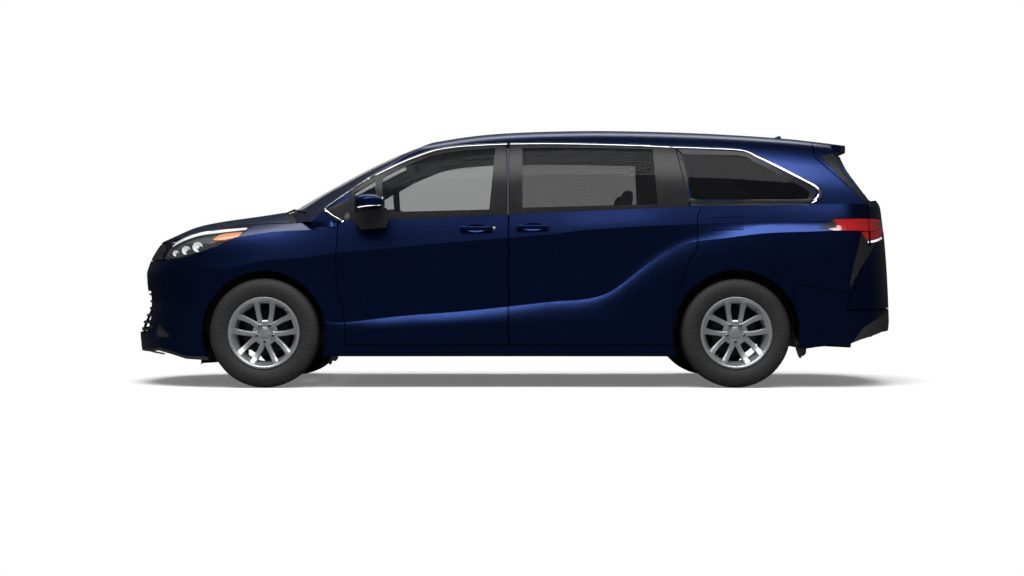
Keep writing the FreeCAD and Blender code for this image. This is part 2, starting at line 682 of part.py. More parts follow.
def aheadOfCowl(step):
    """Everything ahead of the bonnet's rear edge, moved back by a step."""
    points = []
    for i in range(cowlSteps + 1):
        y = cowlReach * (-1 + 2 * i / cowlSteps)
        points.append(Vector(cowlMiddleX + cowlBow * (y / cowlHalf) ** 2 + step, y, 0))
    points += [Vector(-length, cowlReach, 0), Vector(-length, -cowlReach, 0)]
    return polygon(points).extrude(Vector(0, 0, 2 * height))


bonnet = frontShell.common(across(sideFace(bonnetRegionShares, -movingGap / 2)).common(aheadOfCowl(0)))
save("bonnet", largest(bonnet.cut(behindWindscreen(-2 * movingGap))))

# Headlamps that wrap round the front corners
lampDepth = 110
lampCore = skinVolume(lampDepth).common(underBonnet(lampDepth))
lamp = largest(frontVolume.common(right(sideFace(lampShares, -panelGap / 2))).cut(lampCore))
save("headlamps", both(lamp))

# Front wings, open where the windscreen pillar and its post come down
pillarNotchShares = ((-0.482, -0.40), (0.0, 0.885), (0.53, 0.80))
wingFace = sideFace(wingRegionShares).cut(sideFace(bonnetRegionShares, movingGap / 2))
wingFace = wingFace.cut(sideFace(bumperRegionShares, panelGap / 2)).cut(sideFace(lampShares, panelGap / 2))
wingFace = wingFace.cut(sideFace(upperGrilleShares, panelGap)).cut(frontArch)
wing = largest(frontShell.common(right(wingFace)).cut(shareBox(pillarNotchShares)))
savePair("front_wing", wing)
print("wings")

# Front bumper with its middle intake, its corner intakes and the seat of its black lower lip
intakeHalfTop = 0.56 * halfWidth
intakeHalfBottom = 0.66 * halfWidth
intakeTop = 0.362 * height
intakeBottom = 0.200 * height
intakeCorners = [(-intakeHalfTop, intakeTop), (intakeHalfTop, intakeTop),
                 (intakeHalfBottom, intakeBottom), (-intakeHalfBottom, intakeBottom)]
intakeRear = -0.70 * halfLength
cornerShares = [(0.700, 0.232), (0.722, 0.185), (0.835, 0.185), (0.835, 0.200), (0.770, 0.236)]
cornerRear = -0.86 * halfLength
insertInset = 14
insertWall = 12
lipWall = 10
lipShares = [(-1.2, 0.100), (-1.2, 0.140), (-0.94, 0.140), (-0.90, 0.146), (-0.867, 0.134), (-0.827, 0.118),
             (-0.71, 0.115), (-0.71, 0.100)]
bumperShell = between(skinVolume, 0, bumperWall)
bumperFace = sideFace(bumperRegionShares, -panelGap / 2).cut(frontArch)
bumper = bumperShell.common(across(bumperFace))
cornerHole = seen([(outward(y), upward(z)) for y, z in cornerShares], -length, cornerRear)
bumper = bumper.cut(seen(intakeCorners, -length, intakeRear)).cut(both(cornerHole))
lipFace = sideFace(lipShares)
lipSeat = between(skinVolume, 0, lipWall + seatGap).common(across(sideFace(lipShares, seatGap)))
bumper = largest(bumper.cut(lipSeat))
save("front_bumper", bumper)
lip = largest(between(skinVolume, 0, lipWall).common(across(bumperFace.common(lipFace))))
cornerFace = polygon([Vector(0, outward(y), upward(z)) for y, z in cornerShares]).makeOffset2D(-seatGap)
cornerPlug = cornerFace.extrude(Vector(-length, 0, 0))
cornerInsert = largest(between(skinVolume, insertInset, insertInset + insertWall).common(cornerPlug)
                       .common(box(-length, cornerRear, 0, width, 0, height)))
print("bumper")

# Grille: a slim upper panel between the lamps, and curved bars on posts across the intake
barCount = 6
barHeight = 15
barDepthFront = 10
barDepthRear = 30
postStep = 8
postWidth = 14
postPlaces = (-0.30 * halfWidth, 0, 0.30 * halfWidth)
upperGrille = largest(bumperShell.common(across(sideFace(upperGrilleShares))))
barBand = between(skinVolume, barDepthFront, barDepthRear)
postBand = between(skinVolume, barDepthFront + postStep, barDepthRear + postStep)
intakeFace = polygon([Vector(0, y, z) for y, z in intakeCorners]).makeOffset2D(-seatGap)
intakePlug = intakeFace.extrude(Vector(-length, 0, 0))
bars = []
for i in range(barCount):
    z = intakeBottom + (intakeTop - intakeBottom) * (i + 0.5) / barCount
    slot = box(-length, intakeRear, -width, width, z - barHeight / 2, z + barHeight / 2)
    bars.append(barBand.common(intakePlug.common(slot)))
for y in postPlaces:
    slot = box(-length, intakeRear, y - postWidth / 2, y + postWidth / 2, intakeBottom - overrun,
               intakeTop + overrun)
    bars.append(postBand.common(intakePlug.common(slot)))
lowerGrille = largest(bars[0].multiFuse(bars[1:]))
save("grille", Part.Compound([upperGrille, lowerGrille]))
print("grille")

# Body sides: windscreen pillar, roof rail, middle post, sill and rear roof pillar in one
roofHalf = 0.56 * halfWidth
windscreenSideHalf = 0.60 * halfWidth
pillarFootZ = windscreenBase - 0.02 * height
pillarFootX = -0.40 * halfLength
postDepth = 60
railDepth = 50
postShares = (-0.0425, 0.0115)
postTopShares = (0.656, 0.93)
postBottomTop = 0.68 * height
hingePostTop = 0.66 * height
hingePostShares = (-0.47, -0.415)
railShares = ((-0.20, 0.45), (0.66, 1.10), (0.905, 0.950))
railLinkWidthShares = (0.62, 1.10)
footShares = ((-0.475, -0.45), (0.0, 1.10), (0.58, 0.66))
tabShares = ((-0.469, -0.4525), (0.5, 1.1), (0.40, 0.50))
sillShares = [(-0.422, sillBottomShare), (-0.422, sillTopShare), (0.41, sillTopShare),
              (0.41, sillBottomShare)]
sillInnerShares = (-0.44, 0.398)
housingRadius = 472
rearHousingRadius = 440
housingInnerY = 0.50 * halfWidth
rearHousingInnerY = 0.62 * halfWidth
floorZ = 0.185 * height
floorThickness = 42
sillFoot = sillBottomShare * height + 8
innerWall = doorThickness + movingGap
slab = behindWindscreen(-overrun).cut(behindWindscreen(windscreenGlass + seatGap))
screenSeat = slab.common(barrelVolume(glassInset)).common(
    box(-length, 0, -width, width, windscreenBase, windscreenTop))
pillarFootFace = polygon([Vector(-length, 0, 0), Vector(pillarFootX, 0, 0),
                          Vector(pillarFootX, 0, pillarFootZ), Vector(-length, 0, pillarFootZ)])
sideFaceOuter = aboveBelt.cut(sideFace(sideOpeningShares)).cut(sideFace(quarterGlassShares))
sideFaceOuter = sideFaceOuter.cut(tailFaceGrown).cut(pillarFootFace)
sideBand = largest(cabinRight.common(across(sideFaceOuter, roofHalf, width)).cut(screenSeat))
wheelRoom = Part.Compound([
    cylinderY(frontAxleX, tyreRadius, housingRadius + movingGap, housingInnerY, width),
    cylinderY(rearAxleX, tyreRadius, rearHousingRadius + movingGap, rearHousingInnerY, width)])
sill = largest(lowerRight.common(right(sideFace(sillShares).cut(rearArch).cut(frontArch))))
postLayer = between(skinVolume, innerWall, innerWall + postDepth)
upperLayer = between(barrelVolume, upperWall + movingGap, upperWall + movingGap + railDepth)
linkLayer = between(barrelVolume, upperWall - 2 * panelGap, upperWall + movingGap + railDepth)
postX = [along(share) for share in postShares]
middlePost = postLayer.common(box(postX[0], postX[1], 0, width, sillFoot, postBottomTop))
middlePostTop = upperLayer.common(box(postX[0], postX[1], 0, width, upward(postTopShares[0]),
                                      upward(postTopShares[1])))
hingeX = [along(share) for share in hingePostShares]
hingePost = postLayer.common(box(hingeX[0], hingeX[1], 0, width, sillFoot, hingePostTop))
sillX = [along(share) for share in sillInnerShares]
sillLink = between(skinVolume, doorThickness - movingGap, innerWall + movingGap).common(
    box(sillX[0], sillX[1], 0, width, sillFoot, sillTopShare * height))
sillInner = between(skinVolume, innerWall, 2 * innerWall).common(
    box(sillX[0], sillX[1], 0, width, sillFoot, floorZ - seatGap))
rail = upperLayer.common(shareBox(railShares))
railLink = linkLayer.common(shareBox((railShares[0], railLinkWidthShares, railShares[2])))
railLink = railLink.cut(right(sideFace(sideOpeningShares)))
foot = linkLayer.common(shareBox(footShares))
wingTab = between(skinVolume, fenderWall + seatGap, innerWall + postDepth / 2).common(shareBox(tabShares))
inner = [piece.cut(wheelRoom) for piece in (sillLink, sillInner, hingePost)]
bodySide = sideBand.multiFuse([sill, middlePost, middlePostTop, rail, railLink, foot, wingTab] + inner)
print("side solids", len(bodySide.Solids))
savePair("body_side", largest(bodySide))

# Rear quarter panels over the rear wheels, with the fuel door's joint in the left one
fuelDoorShares = [(0.500, 0.588), (0.500, 0.636), (0.575, 0.639), (0.575, 0.591)]
jointWidth = 4
jointDepth = 5
quarterFace = sideFace(slideDoorEdgeShares[::-1] + belowQuarterShares)
beltTail = beltPoints[quarterStartStep:]
quarterFace = quarterFace.common(sideFace(beltTail + quarterEndShares + [(beltTail[0][0], 0.0)]))
quarterFace = quarterFace.cut(tailFaceGrown).cut(sideFace(rearBumperShares, panelGap / 2))
quarterFace = quarterFace.cut(sideFace(tailLampShares, panelGap / 2)).cut(rearArch)
quarter = largest(lowerRight.common(right(quarterFace)))
fuelRing = sideFace(fuelDoorShares, jointWidth / 2).cut(sideFace(fuelDoorShares, -jointWidth / 2))
fuelJoint = between(skinVolume, -overrun, jointDepth).common(right(fuelRing))
save("rear_quarter_right", quarter)
save("rear_quarter_left", mirrored(largest(quarter.cut(fuelJoint))))
print("quarters")

# Roof with the aerial fin, and the bowed windscreen
finShares = [(0.0, 0.0), (0.28, 0.48), (0.76, 1.0), (0.93, 0.97), (1.0, 0.0)]
finFrontX = 0.684 * halfLength
finLength = 118
finHeight = 52
finWidth = 30
finEdge = 9
roofFrontX = -0.3 * halfLength
finFoot = roofLine(finFrontX + finLength) - upperWall / 4
fin = polygon([Vector(finFrontX + x * finLength, -finWidth / 2, finFoot + z * finHeight)
               for x, z in finShares])
fin = fin.extrude(Vector(0, finWidth, 0))
fin = fin.makeFillet(finEdge, [e for e in fin.Edges if e.BoundBox.ZMax > finFoot + finHeight / 3
                               and e.BoundBox.YLength < finWidth / 2])
roofSpan = roofHalf - seatGap
roof = cabinShell.common(box(-length, length, -roofSpan, roofSpan, windscreenBase, 2 * height))
roof = roof.cut(across(tailFaceGrown)).cut(screenSeat)
roof = largest(roof.cut(box(-length, roofFrontX, -width, width, 0, windscreenTop)))
save("roof", largest(roof.fuse(fin)))
windscreen = screen.cut(behindWindscreen(windscreenGlass)).common(barrelVolume(glassInset + seatGap))
windscreen = windscreen.common(box(-length, 0, -width, width, windscreenBase + seatGap,
                                   windscreenTop - seatGap))
frameRoom = across(sideFace(sideOpeningShares, 2), windscreenSideHalf, width)
windscreen = largest(windscreen.cut(frameRoom).cut(mirrored(frameRoom)))
save("windscreen", windscreen)
print("roof")

# Tailgate with its glass, spoiler and number plate recess, and the lamps
glassTopHalf = 0.60 * halfWidth
glassBottomHalf = 0.70 * halfWidth
glassTopZ = 0.885 * height
glassBottomZ = 0.735 * height
glassFrontX = 0.75 * halfLength
ledgeFrontX = 0.86 * halfLength
spoilerShares = [(0.767, -0.62), (0.845, -0.60), (0.872, -0.40), (0.883, -0.20), (0.886, 0.0), (0.883, 0.20),
                 (0.872, 0.40), (0.845, 0.60), (0.767, 0.62)]
plateHalf = 0.27 * halfWidth
plateBottom = 0.420 * height
plateTop = 0.515 * height
plateDepth = 24
lampWall = 60
gateLampInnerY = 0.50 * halfWidth
backCorners = [(-glassTopHalf, glassTopZ), (glassTopHalf, glassTopZ),
               (glassBottomHalf, glassBottomZ), (-glassBottomHalf, glassBottomZ)]
upperTail = cabinShell.common(across(tailFace.common(sideFace(upperTailShares))))
upperTail = upperTail.cut(seen(backCorners, glassFrontX, length))
lowerTailFace = tailFace.common(sideFace(lowerTailFrontShares + ledgeTopShares + lowerTailRearShares))
lowerTail = lowerShell.common(across(lowerTailFace))
lampSlot = sideFace(tailLampShares, panelGap / 2)
lowerTail = lowerTail.cut(across(lampSlot, gateLampInnerY)).cut(across(lampSlot, -width, -gateLampInnerY))
plateRoom = box(0, length, -plateHalf, plateHalf, plateBottom, plateTop).cut(skinVolume(plateDepth))
lowerTail = lowerTail.cut(plateRoom)
spoilerPlan = polygon([Vector(along(x), outward(y), 0) for x, y in spoilerShares])
spoilerPlan = spoilerPlan.extrude(Vector(0, 0, 2 * height))
aheadOfGap = across(sideFace(spoilerGapShares, movingGap / 2))
spoiler = between(barrelVolume, 0, upperWall).common(spoilerPlan).cut(aheadOfGap)
ledgeFace = tailFace.common(sideFace(ledgeFrontShares + ledgeTopShares + ledgeRearShares))
ledge = outer.common(across(ledgeFace)).common(box(ledgeFrontX, length, -width, width, 0, height))
tailgate = largest(upperTail).multiFuse([largest(lowerTail), spoiler, ledge])
save("tailgate", largest(tailgate))
backPlug = polygon([Vector(0, y, z) for y, z in backCorners]).makeOffset2D(-seatGap)
backPlug = backPlug.extrude(Vector(length, 0, 0)).common(box(glassFrontX, length, -width, width, 0, height))
backGlass = between(aheadOfBacklight, glassInset, glassInset + glassThickness).common(backPlug)
save("rear_glass", largest(backGlass))
lampBand = between(skinVolume, 0, lampWall)
bodyLamp = largest(lampBand.common(right(sideFace(tailLampShares).cut(tailFaceGrown))))
gateLampFace = sideFace(tailLampShares).common(sideFace(tailgateRegionShares, -seatGap))
gateLamp = largest(lampBand.common(across(gateLampFace, gateLampInnerY + seatGap, width)))
save("tail_lamps", both(bodyLamp))
save("tailgate_lamps", both(gateLamp))

# Rear bumper with its black lower insert laid in a recess
valanceWall = 12
valanceShares = [(0.845, 0.13), (0.845, 0.166), (0.8777, 0.2265), (0.955, 0.283), (1.2, 0.283), (1.2, 0.13)]
rearFace = sideFace(rearBumperShares, -panelGap / 2).cut(rearArch)
valanceSeat = between(skinVolume, -overrun, valanceWall + seatGap)
valanceSeat = valanceSeat.common(across(sideFace(valanceShares, seatGap)))
rearBumper = lowerShell.common(across(rearFace)).cut(valanceSeat)
save("rear_bumper", largest(rearBumper))
valanceFace = sideFace(valanceShares).common(sideFace(rearBumperShares, -panelGap / 2))
valance = largest(between(skinVolume, 0, valanceWall).common(across(valanceFace)))
save("bumper_inserts", Part.Compound([both(cornerInsert), lip, valance]))
print("tail")

# Floor, bulkhead and wheel housings
floorHalf = 0.785 * halfWidth
floorFrontX = -0.47 * halfLength
floorRearX = 0.93 * halfLength
firewallTop = 0.60 * height
firewallWall = 30
linerWall = 8
linerOuterY = 0.925 * halfWidth
linerFootZ = 0.20 * height
strutHoleShares = ((-0.655, -0.597), (0.50, 0.74), (0.40, 0.60))
floor = box(floorFrontX, floorRearX, -floorHalf, floorHalf, floorZ, floorZ + floorThickness)
firewall = box(floorFrontX, floorFrontX + firewallWall, -floorHalf, floorHalf, floorZ, firewallTop)
tub = floor.fuse(firewall).common(skinVolume(innerWall + movingGap))
frontHousing = cylinderY(frontAxleX, tyreRadius, housingRadius, housingInnerY, width)
rearHousing = cylinderY(rearAxleX, tyreRadius, rearHousingRadius, rearHousingInnerY, width)
save("floor_pan", largest(tub.cut(both(frontHousing)).cut(both(rearHousing))))


def liner(axleX, radius, innerY, room):
    """Half-round wheel housing liner with its inner wall, trimmed to the room behind the panel."""
    ring = cylinderY(axleX, tyreRadius, radius - seatGap, innerY + seatGap, linerOuterY)
    hollow = cylinderY(axleX, tyreRadius, radius - linerWall, innerY + linerWall, width)
    return largest(ring.cut(hollow).cut(box(-length, length, 0, width, 0, linerFootZ)).common(room))


frontRoom = skinVolume(bumperWall + 2 * panelGap).common(underBonnet(hoodThickness + panelGap))
frontLiner = liner(frontAxleX, housingRadius, housingInnerY, frontRoom)
frontLiner = largest(frontLiner.cut(shareBox(strutHoleShares)))
rearLiner = liner(rearAxleX, rearHousingRadius, rearHousingInnerY, skinVolume(innerWall + movingGap))
save("wheel_liners", Part.Compound([both(frontLiner), both(rearLiner)]))

# Mud flaps behind the wheels, hung under the ends of the liners
flapThickness = 6
flapTop = linerFootZ - seatGap
frontFlapShares = (-0.4475, -0.465, 0.085)
frontFlapWidthShares = (0.80, 0.915)
rearFlapShares = (0.7235, 0.7235, 0.11)
rearFlapWidthShares = (0.80, 0.88)


def flap(shares, widthShares):
    """Flap of one thickness from its top x, foot x and foot height."""
    top = along(shares[0])
    foot = along(shares[1])
    low = upward(shares[2])
    inner = outward(widthShares[0])
    outline = polygon([Vector(top, inner, flapTop), Vector(top + flapThickness, inner, flapTop),
                       Vector(foot + flapThickness, inner, low), Vector(foot, inner, low)])
    return outline.extrude(Vector(0, outward(widthShares[1]) - inner, 0))


frontFlap = flap(frontFlapShares, frontFlapWidthShares)
rearFlap = flap(rearFlapShares, rearFlapWidthShares)
save("mud_flaps", Part.Compound([both(frontFlap), both(rearFlap)]))
print("floor")


def revolveY(profile, x, y, z):
    """Solid of revolution about a level axle, from (radius, reach along the axle) points."""
    points = [Vector(r, a, 0) for r, a in profile]
    solid = polygon(points).revolve(Vector(0, 0, 0), Vector(0, 1, 0), 360)
    solid.translate(Vector(x, y, z))
    return solid


# Tyres and rims: half sections as (radius, distance from the wheel's middle plane)
beadRadius = rimRadius - rimFlange
rimHalf = 0.40 * tyreWidth
flangeWidth = 8
flangeClearance = 1
tyreRise = tyreRadius - beadRadius
tyreSideShares = [(0.165, 0.43), (0.36, 0.485), (0.547, 0.50), (0.842, 0.462), (1.0, 0.36)]
tyreSide = [(beadRadius, rimHalf), (rimRadius + flangeClearance, rimHalf)]
tyreSide += [(beadRadius + r * tyreRise, a * tyreWidth) for r, a in tyreSideShares]
tyreProfile = tyreSide + [(r, -a) for r, a in tyreSide[::-1]]
wellRadius = 0.83 * rimRadius
barrelWall = 10
seatRadius = beadRadius - seatGap
seatHalf = rimHalf + seatGap
rimProfile = [(rimRadius, seatHalf), (rimRadius, seatHalf + flangeWidth),
              (rimRadius - flangeWidth, seatHalf + flangeWidth),
              (beadRadius - barrelWall, rimHalf - flangeWidth), (wellRadius - barrelWall, 0),
              (wellRadius - barrelWall, -0.2 * tyreWidth), (beadRadius - barrelWall, -rimHalf),
              (rimRadius - flangeWidth, -seatHalf - flangeWidth), (rimRadius, -seatHalf - flangeWidth),
              (rimRadius, -seatHalf), (seatRadius, -seatHalf), (seatRadius, seatHalf)]
wheelFaceShares = [(0.0, 0.16), (0.0, 0.22), (0.14, 0.22), (0.30, 0.235), (0.60, 0.33), (0.86, 0.40),
                   (0.915, 0.40), (0.915, 0.27), (0.60, 0.20), (0.30, 0.13)]
slotShares = [(-0.095, 0.50), (0.095, 0.50), (0.125, 0.84), (-0.125, 0.84)]
gapShares = [(-0.05, -0.36), (0.05, -0.36), (0.24, -0.78), (0.15, -0.85), (-0.15, -0.85), (-0.24, -0.78)]


def wheelRim():
    """Rim with a dished face, cut into ten spokes in five pairs, and its bolt holes."""
    face = revolveY([(r * rimRadius, a * tyreWidth) for r, a in wheelFaceShares], 0, 0, 0)
    holes = []
    for i in range(wheelSlots):
        for shares in (slotShares, gapShares):
            hole = polygon([Vector(x * rimRadius, 0, z * rimRadius) for x, z in shares])
            holes.append(hole.extrude(Vector(0, tyreWidth, 0)))
        holes.append(cylinderY(0, lugCircle / 2, lugRadius, 0, tyreWidth))
        for hole in holes[-3:]:
            hole.rotate(Vector(0, 0, 0), Vector(0, 1, 0), 360 * i / wheelSlots)
    return largest(revolveY(rimProfile, 0, 0, 0).fuse(face.cut(Part.Compound(holes))))


tyre = revolveY(tyreProfile, 0, 0, 0)
rim = wheelRim()
wheelY = track / 2
for end, axleX in (("front", frontAxleX), ("rear", rearAxleX)):
    for side, sign in (("left", -1), ("right", 1)):
        for kind, shape in (("tyre", tyre), ("rim", rim)):
            piece = shape.copy() if sign > 0 else mirrored(shape)
            piece.translate(Vector(axleX, sign * wheelY, tyreRadius))
            save(kind + "_" + end + "_" + side, piece)
print("wheels")

# Steering knuckles: carrier, hub, vented disc, caliper and leaning strut
kingpinY = 0.735 * halfWidth
kingpinLean = 0.20
discRadius = 150
discPlate = 9
discGap = 8
hubRadius = 62
hubFace = wheelY + wheelFaceShares[-1][1] * tyreWidth - 1
brakeY = hubFace - 72
carrierReach = 55
carrierInnerY = kingpinY - 45
carrierOuterY = hubFace - 60
carrierLow = 104
carrierHigh = 120
caliperX = (95, 150)
caliperY = (hubFace - 95, hubFace - 25)
caliperZ = (-70, 90)
strutRadius = 27
strutY = kingpinY - 10
strutFoot = tyreRadius + 60
strutTop = 0.50 * height
armZ = tyreRadius - 150
armThickness = 34
ballRadius = 20
brake = cylinderY(frontAxleX, tyreRadius, discRadius, brakeY, brakeY + discPlate)
brakeOuter = cylinderY(frontAxleX, tyreRadius, discRadius, brakeY + discPlate + discGap,
                       brakeY + 2 * discPlate + discGap)
hub = cylinderY(frontAxleX, tyreRadius, hubRadius, brakeY - discPlate, hubFace)
carrier = box(frontAxleX - carrierReach, frontAxleX + carrierReach, carrierInnerY, carrierOuterY,
              tyreRadius - carrierLow, tyreRadius + carrierHigh)
caliper = box(frontAxleX + caliperX[0], frontAxleX + caliperX[1], caliperY[0], caliperY[1],
              tyreRadius + caliperZ[0], tyreRadius + caliperZ[1])
caliperArm = box(frontAxleX + carrierReach, frontAxleX + caliperX[0], caliperY[0], brakeY - discPlate,
                 tyreRadius - carrierReach, tyreRadius + carrierReach)
strut = Part.makeCylinder(strutRadius, strutTop - strutFoot, Vector(frontAxleX, strutY, strutFoot),
                          Vector(0, -kingpinLean, 1))
ballPin = Part.makeCylinder(ballRadius, tyreRadius - armZ - armThickness - seatGap,
                            Vector(frontAxleX, kingpinY, armZ + armThickness + seatGap))
knuckle = carrier.multiFuse([brake, brakeOuter, hub, caliper, caliperArm, strut, ballPin])
savePair("knuckle", largest(knuckle))

# Front subframe: cross member, lower arms, posts up to the floor, and rails to the radiator
memberReach = (60, 360)
memberHalf = 0.35 * halfWidth
memberWall = 0.11 * halfWidth
memberZ = (armZ - 6, armZ + 56)
memberRim = 100
armBendY = 0.50 * halfWidth
armTip = kingpinY + ballRadius
arm = [Vector(frontAxleX - carrierReach / 2, armTip, armZ),
       Vector(frontAxleX + carrierReach / 2, armTip, armZ),
       Vector(frontAxleX + memberReach[1] - memberRim / 4, memberHalf, armZ),
       Vector(frontAxleX + memberReach[1] - memberRim, memberHalf - memberWall / 4, armZ),
       Vector(frontAxleX + carrierReach, armBendY, armZ),
       Vector(frontAxleX + carrierReach / 2, memberHalf - memberWall / 4, armZ),
       Vector(frontAxleX - carrierReach, memberHalf - memberWall / 4, armZ)]
arm = polygon(arm).extrude(Vector(0, 0, armThickness))
member = box(frontAxleX - memberReach[0], frontAxleX + memberReach[1], -memberHalf, memberHalf, memberZ[0],
             memberZ[1])
member = member.cut(box(frontAxleX - memberReach[0] + memberRim, frontAxleX + memberReach[1] - memberRim,
                        memberWall - memberHalf, memberHalf - memberWall, 0, height))
floorPost = box(frontAxleX + memberReach[1] - memberRim / 2, floorFrontX + memberRim / 2,
                memberHalf - memberWall, memberHalf, memberZ[0], floorZ - seatGap)
radiatorShares = ((-0.928, -0.909), (-0.44, 0.44), (0.150, 0.44))
radiator = shareBox(radiatorShares)
railFront = along(radiatorShares[0][0])
rail = box(railFront, frontAxleX, memberHalf - memberWall, memberHalf, memberZ[0] + memberRim / 4, memberZ[1])
subframe = member.multiFuse([both(arm), both(floorPost), both(rail), radiator])
save("front_subframe", largest(subframe))
engineShares = ((-0.86, -0.56), (-0.36, 0.40), (0.14, 0.50))
engine = shareBox(engineShares).cut(box(-length, length, -width, width, 0, memberZ[1] + seatGap))
save("engine_block", engine)

# Rear axle: cross beam, trailing arms outside the floor, hubs and discs
beamRadius = 45
beamX = rearAxleX - 180
beamZ = floorZ - beamRadius - movingGap
trailInnerY = rearHousingInnerY + 2 * linerWall
trailWidth = 56
trailFrontX = rearAxleX - 620
trailPoints = [(trailFrontX, beamZ - beamRadius), (trailFrontX, beamZ + beamRadius - 1),
               (rearAxleX - 160, beamZ + beamRadius - 1), (rearAxleX - 60, tyreRadius + 60),
               (rearAxleX + 70, tyreRadius + 60), (rearAxleX + 70, tyreRadius - 60),
               (rearAxleX - 100, beamZ - beamRadius)]
trail = polygon([Vector(x, trailInnerY, z) for x, z in trailPoints]).extrude(Vector(0, trailWidth, 0))
beam = cylinderY(beamX, beamZ, beamRadius, -trailInnerY - trailWidth / 2, trailInnerY + trailWidth / 2)
rearHub = cylinderY(rearAxleX, tyreRadius, hubRadius, trailInnerY, hubFace)
rearDisc = cylinderY(rearAxleX, tyreRadius, discRadius, brakeY + discGap, brakeY + discGap + discPlate)
rearAxle = beam.multiFuse([both(trail), both(rearHub), both(rearDisc)])
save("rear_axle", largest(rearAxle))

# Exhaust: a pipe bent from straight runs and arcs, an oval silencer across the tail, and the fuel tank
pipeRadius = 26
pipeBend = 90
silencerX = 0.765 * halfLength
silencerY = (-0.42 * halfWidth, 0.15 * halfWidth)
silencerLong = 115
silencerTall = 42
silencerZ = floorZ - silencerTall - seatGap
pipeY = 0.385 * halfWidth
pipeStartY = 0.10 * halfWidth
pipeStartX = -1100
pipeDropX = -600
tailPipeLength = 350
tailPipeFall = 0.05
pipeZ = memberZ[1] + pipeRadius + panelGap / 2
pipeLow = beamZ - beamRadius - pipeRadius - movingGap
engineRear = along(engineShares[0][1])
pipeRoute = [(engineRear + seatGap, pipeStartY, pipeZ), (pipeStartX, pipeStartY, pipeZ),
             (pipeDropX, pipeY, pipeZ), (beamX - 5 * pipeBend, pipeY, pipeZ),
             (beamX - 2 * pipeBend, pipeY, pipeLow), (beamX + pipeBend, pipeY, pipeLow),
             (silencerX - 3 * pipeBend, silencerY[1] / 2, silencerZ),
             (silencerX, silencerY[1] / 2, silencerZ)]


def bentPipe(route, radius, bend):
    """Pipe through the points of a route, each corner rounded by an arc tangent to both runs."""
    points = [Vector(*p) for p in route]
    edges = []
    start = points[0]
    for before, corner, after in zip(points, points[1:], points[2:]):
        back = (before - corner).normalize()
        ahead = (after - corner).normalize()
        half = back.getAngle(ahead) / 2
        tangent = bend / math.tan(half)
        entry = corner + back * tangent
        leave = corner + ahead * tangent
        middle = corner + (back + ahead).normalize() * (bend / math.sin(half) - bend)
        edges.append(Part.makeLine(start, entry))
        edges.append(Part.Arc(entry, middle, leave).toShape())
        start = leave
    edges.append(Part.makeLine(start, points[-1]))
    ring = Part.Wire(Part.makeCircle(radius, points[0], points[1] - points[0]))
    return Part.Wire(edges).makePipeShell([ring], True, False)


oval = Part.Face(Part.Wire(Part.Ellipse(Vector(0, 0, 0), silencerLong, silencerTall).toShape()))
silencer = oval.extrude(Vector(0, 0, silencerY[1] - silencerY[0]))
silencer.rotate(Vector(0, 0, 0), Vector(1, 0, 0), -90)
silencer.translate(Vector(silencerX, silencerY[0], silencerZ))
pipe = bentPipe(pipeRoute, pipeRadius, pipeBend)
tailPipe = Part.makeCylinder(pipeRadius, tailPipeLength, Vector(silencerX, silencerY[0] / 2, silencerZ),
                             Vector(1, 0, -tailPipeFall))
save("exhaust", largest(silencer.multiFuse([pipe, tailPipe])))
tankShares = ((-0.05, 0.26), (-0.45, 0.30))
tankBottom = 0.118 * height
tankEdge = 30
tank = box(along(tankShares[0][0]), along(tankShares[0][1]), outward(tankShares[1][0]),
           outward(tankShares[1][1]), tankBottom, floorZ - seatGap)
save("fuel_tank", tank.makeFillet(tankEdge, tank.Edges))
print("under")

# Steering wheel with three spokes, on the column that comes out of the dashboard
steerRadius = 188
steerTube = 15
steerX = -0.290 * halfLength
steerY = -0.38 * halfWidth
steerZ = 0.565 * height
steerTilt = 25
steerHub = 60
steerHubFront = -45
steerHubRear = -5
steerSpoke = 36
steerSpokeFront = -30
steerSpokeRear = -10
columnRadius = 38
columnLength = 240
dashHalf = 0.77 * halfWidth
dashEdge = 20
dashShares = [(-0.455, 0.40), (-0.455, 0.60), (-0.40, 0.635), (-0.345, 0.620), (-0.325, 0.52), (-0.36, 0.42)]


def onColumn(shape):
    """A piece drawn about the lengthwise axis, tilted and carried to the steering column."""
    shape.rotate(Vector(0, 0, 0), Vector(0, 1, 0), -steerTilt)
    shape.translate(Vector(steerX, steerY, steerZ))
    return shape


grip = Part.makeTorus(steerRadius, steerTube, Vector(0, 0, 0), Vector(1, 0, 0))
hubPart = Part.makeCylinder(steerHub, steerHubRear - steerHubFront, Vector(steerHubFront, 0, 0),
                            Vector(1, 0, 0))
crossSpoke = box(steerSpokeFront, steerSpokeRear, -steerRadius, steerRadius, -steerSpoke / 2, steerSpoke / 2)
lowSpoke = box(steerSpokeFront, steerSpokeRear, -steerSpoke / 2, steerSpoke / 2, -steerRadius, 0)
save("steering_wheel", onColumn(largest(grip.multiFuse([hubPart, crossSpoke, lowSpoke]))))
column = onColumn(Part.makeCylinder(columnRadius, columnLength,
                                    Vector(steerHubFront - seatGap - columnLength, 0, 0), Vector(1, 0, 0)))
dashFace = polygon([Vector(along(x), -dashHalf, upward(z)) for x, z in dashShares])
dash = dashFace.extrude(Vector(0, 2 * dashHalf, 0))
dash = dash.makeFillet(dashEdge, [e for e in dash.Edges if e.BoundBox.YLength > dashHalf])
save("dashboard", largest(dash.fuse(column)))

